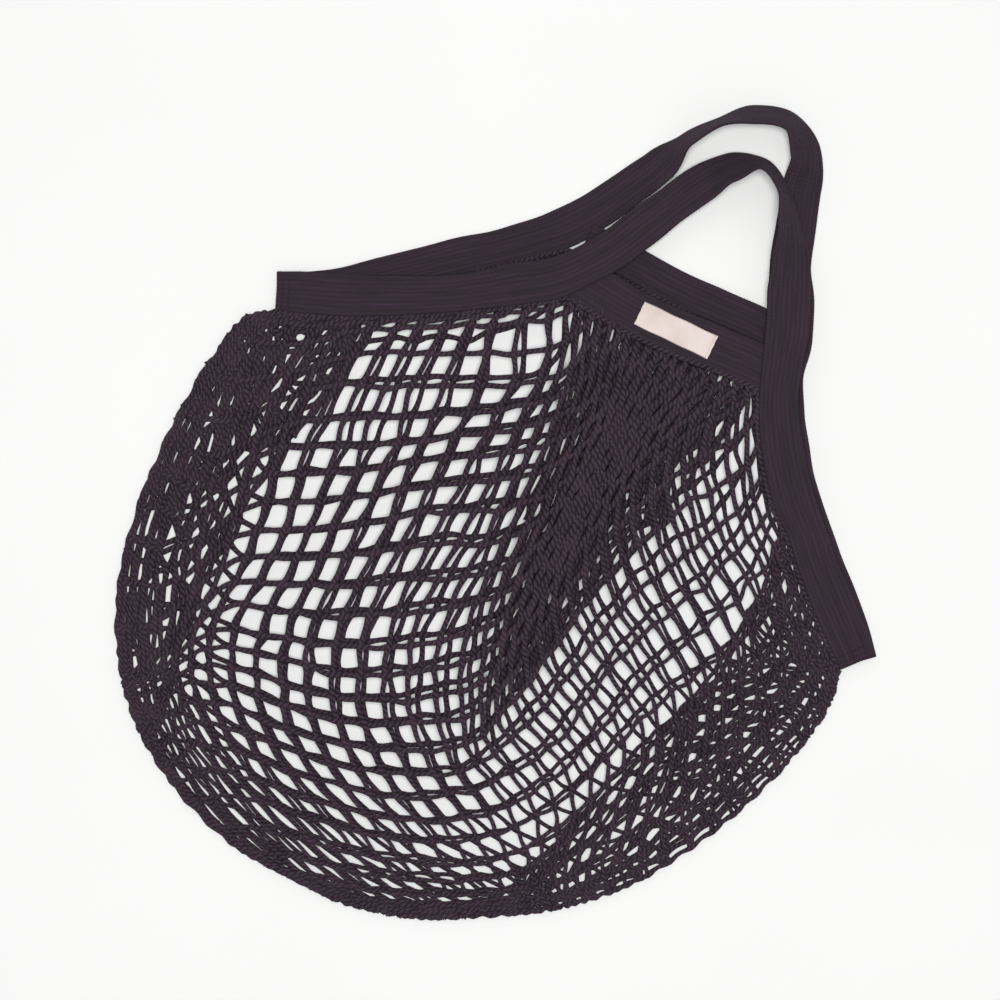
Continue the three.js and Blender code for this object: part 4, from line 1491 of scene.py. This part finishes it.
@dataclass
class Studio:
    """Pale floor, soft lights and the camera that looks straight down on the bag."""

    middle: tuple[float, float] = (-0.0230, -0.0140)
    turn: float = 31.53
    field_width: float = 0.558
    lens: float = 135.0
    half_sensor: float = 18.0
    floor_reach: float = 3.0
    floor_level: float = -0.0004
    surround: str = "F4F4F6"
    surround_strength: float = 0.26

    def floor(self) -> bpy.types.Object:
        """A wide level square just under the bag.

        Returns:
            The floor.
        """
        mesh = bpy.data.meshes.new("floor")
        r, low = self.floor_reach, self.floor_level
        corners = [(-r, -r, low), (r, -r, low), (r, r, low), (-r, r, low)]
        mesh.from_pydata(corners, [], [(0, 1, 2, 3)])
        mesh.materials.append(PaintedBoard().make("matt_white_board"))
        return add_object("floor", mesh)

    def light(self, name: str, spot: Sequence[float], size: float, power: float) -> None:
        """A square soft box that faces the bag.

        Args:
            name: The light's name.
            spot: Its place in metres.
            size: Its side in metres.
            power: Its power in watts.
        """
        data = bpy.data.lights.new(name, "AREA")
        data.energy, data.size = power, size
        lamp = add_object(name, data)
        lamp.location = spot
        place = np.array(spot)
        aim = -place / np.linalg.norm(place)
        lamp.rotation_euler = (math.acos(-aim[2]), 0.0, math.atan2(aim[0], -aim[1]) + math.pi)

    def lights(self) -> None:
        """A large key on one side, a fill on the other, a light above and a pale surround."""
        bpy.context.scene.view_settings.view_transform = "Standard"
        self.light("key", (-0.9, 1.1, 1.6), size=1.6, power=3.5)
        self.light("fill", (1.2, -0.8, 1.4), size=1.6, power=2.0)
        self.light("top", (0.0, 0.0, 2.4), size=0.7, power=42.5)
        world = bpy.data.worlds.new("surround")
        world.use_nodes = True
        background = world.node_tree.nodes["Background"]
        background.inputs[0].default_value = linear(self.surround)
        background.inputs[1].default_value = self.surround_strength
        bpy.context.scene.world = world

    def camera(self) -> None:
        """The camera: its height is half the field over the tangent of half the lens's angle."""
        data = bpy.data.cameras.new("camera")
        data.lens = self.lens
        height = (self.field_width / 2) / (self.half_sensor / self.lens)
        camera = add_object("camera", data)
        camera.location = (*self.middle, height)
        camera.rotation_euler = (0.0, 0.0, math.radians(self.turn))
        bpy.context.scene.camera = camera


@dataclass
class StringBag:
    """The whole bag: net layers, bands, seams, stitches and label."""

    front_mouth_ends: tuple[float, float] = (0.284, 0.711)
    front_mouth_width: float = 24.0
    back_mouth_ends: tuple[float, float] = (0.265, 0.700)
    back_mouth_width: float = 19.0
    corner_rows: tuple[float, ...] = (0.006, 0.012, 0.988, 0.994)

    def __post_init__(self) -> None:
        """Works out the runs and layers, and makes the finishes."""
        self.lay_out()
        self.string = PliedCotton().make("plied_cotton_string")
        self.knit = RibKnit().make("rib_knit_cotton_tape")
        self.tape = WovenTape().make("woven_satin_tape")

    def lay_out(self) -> None:
        """Works out the bands' runs and the layers of the net, from the bottom one up."""
        top = MOUTH_LEVEL + OUTER_LEVEL
        self.front = handle_run(FRONT_SLOPE_LEFT, FRONT_LOOP, FRONT_SLOPE_RIGHT, OUTER_LEVEL, top)
        self.back = handle_run(BACK_SLOPE_LEFT, BACK_LOOP, BACK_SLOPE_RIGHT, 0.0, 0.0)
        self.front_mouth = mouth_run(
            self.front, self.front_mouth_ends, "front", self.front_mouth_width, MOUTH_LEVEL,
            MOUTH_LEVEL,
        )
        self.back_mouth = mouth_run(
            self.back, self.back_mouth_ends, "back", self.back_mouth_width, OUTER_LEVEL, 0.0
        )
        over, under = (self.front, self.front_mouth), (self.back, self.back_mouth)
        front = NetLayer(*over, level=1.4, mouth_level=MOUTH_LEVEL, loft=NET_LOFT)
        inner = {"jitter": 0.14, "partner": front}
        sides, pleat = inner | {"reach": Reach.SIDES}, inner | {"reach": Reach.PLEAT}
        self.layers = {
            "back": NetLayer(
                *under, level=0.0, mouth_level=0.0, sweep=0.18, seed=4, step=(0.05, 0.03),
                partner=front,
            ),
            "folded_in": NetLayer(
                *over, level=0.8, mouth_level=3.0, seed=6, step=(0.5, 0.4), sweep=-0.28, **sides
            ),
            "folded_low": NetLayer(
                *over, level=0.5, mouth_level=2.0, seed=7, step=(0.2, 0.7), sweep=0.26, inset=0.3,
                **sides,
            ),
            "pleat_low": NetLayer(
                *over, level=0.8, mouth_level=3.0, seed=8, step=(0.5, 0.1), inset=9.0, **pleat
            ),
            "pleat_high": NetLayer(
                *over, level=1.0, mouth_level=6.0, loft=2.0, seed=9, step=(0.8, 0.5), inset=26.0,
                **pleat,
            ),
            "front": front,
        }

    def finish_piece(
        self, piece: bpy.types.Object, material: bpy.types.Material, node: str
    ) -> None:
        """Gives a piece its material and its place in the frame.

        Args:
            piece: The mesh object.
            material: Its material.
            node: The frame's node that it stands for.
        """
        piece.data.materials.append(material)
        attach(piece, "root")
        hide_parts(node)
        LOG.info("%s: %d faces", piece.name, len(piece.data.polygons))

    def nets(self) -> None:
        """The strings of every layer, each direction a piece."""
        for word, layer in self.layers.items():
            seed = 11 + 7 * layer.seed
            for family in Family:
                name = f"net_{word}_{family.name.lower()}_strings"
                piece = StringNet(layer, family, seed=seed).build(name)
                self.finish_piece(piece, self.string, "net_body")

    def hems(self) -> None:
        """The rolled seams between the net and its bands."""
        for word in ("front", "back"):
            layer = self.layers[word]
            left, right = layer.slope_left.points, layer.slope_right.points[::-1]
            edge = np.vstack([left, layer.mouth_edge.points[1:], right[1:]])
            piece = HemCord(edge).build(f"net_{word}_seam")
            self.finish_piece(piece, self.string, "net_body")

    def bands(self) -> None:
        """The four knitted bands."""
        for name, run, start, ribs in (
            ("front_handle", self.front, 0.0, 9), ("back_handle", self.back, 0.0, 9),
            ("front_mouth", self.front_mouth, 0.0, 9), ("back_mouth", self.back_mouth, 0.10, 7),
        ):
            piece = KnitBand(run, start, ribs=ribs, seed=len(name)).build(f"{name}_knit")
            self.finish_piece(piece, self.knit, f"{name}_band")

    def stitching(self) -> None:
        """Stitches across the bands where they are joined."""
        for word, run in (("front", self.front), ("back", self.back)):
            piece = JoinStitches(run, self.corner_rows).build(f"{word}_corner_stitches")
            self.finish_piece(piece, self.knit, f"{word}_handle_band")

    def label(self) -> None:
        """The bare woven label and its stitches."""
        label = WovenLabel(self.front_mouth)
        self.finish_piece(label.build("woven_label"), self.tape, "label")
        self.finish_piece(label.stitches("label_stitches"), self.tape, "label")


def main() -> None:
    """Builds the bag and its studio in order."""
    logging.basicConfig(level=logging.INFO, format="%(name)s %(message)s")
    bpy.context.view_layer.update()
    bag = StringBag()
    bag.nets()
    bag.hems()
    bag.bands()
    bag.stitching()
    bag.label()
    studio = Studio()
    studio.floor()
    studio.lights()
    studio.camera()


if __name__ == "__main__":
    main()
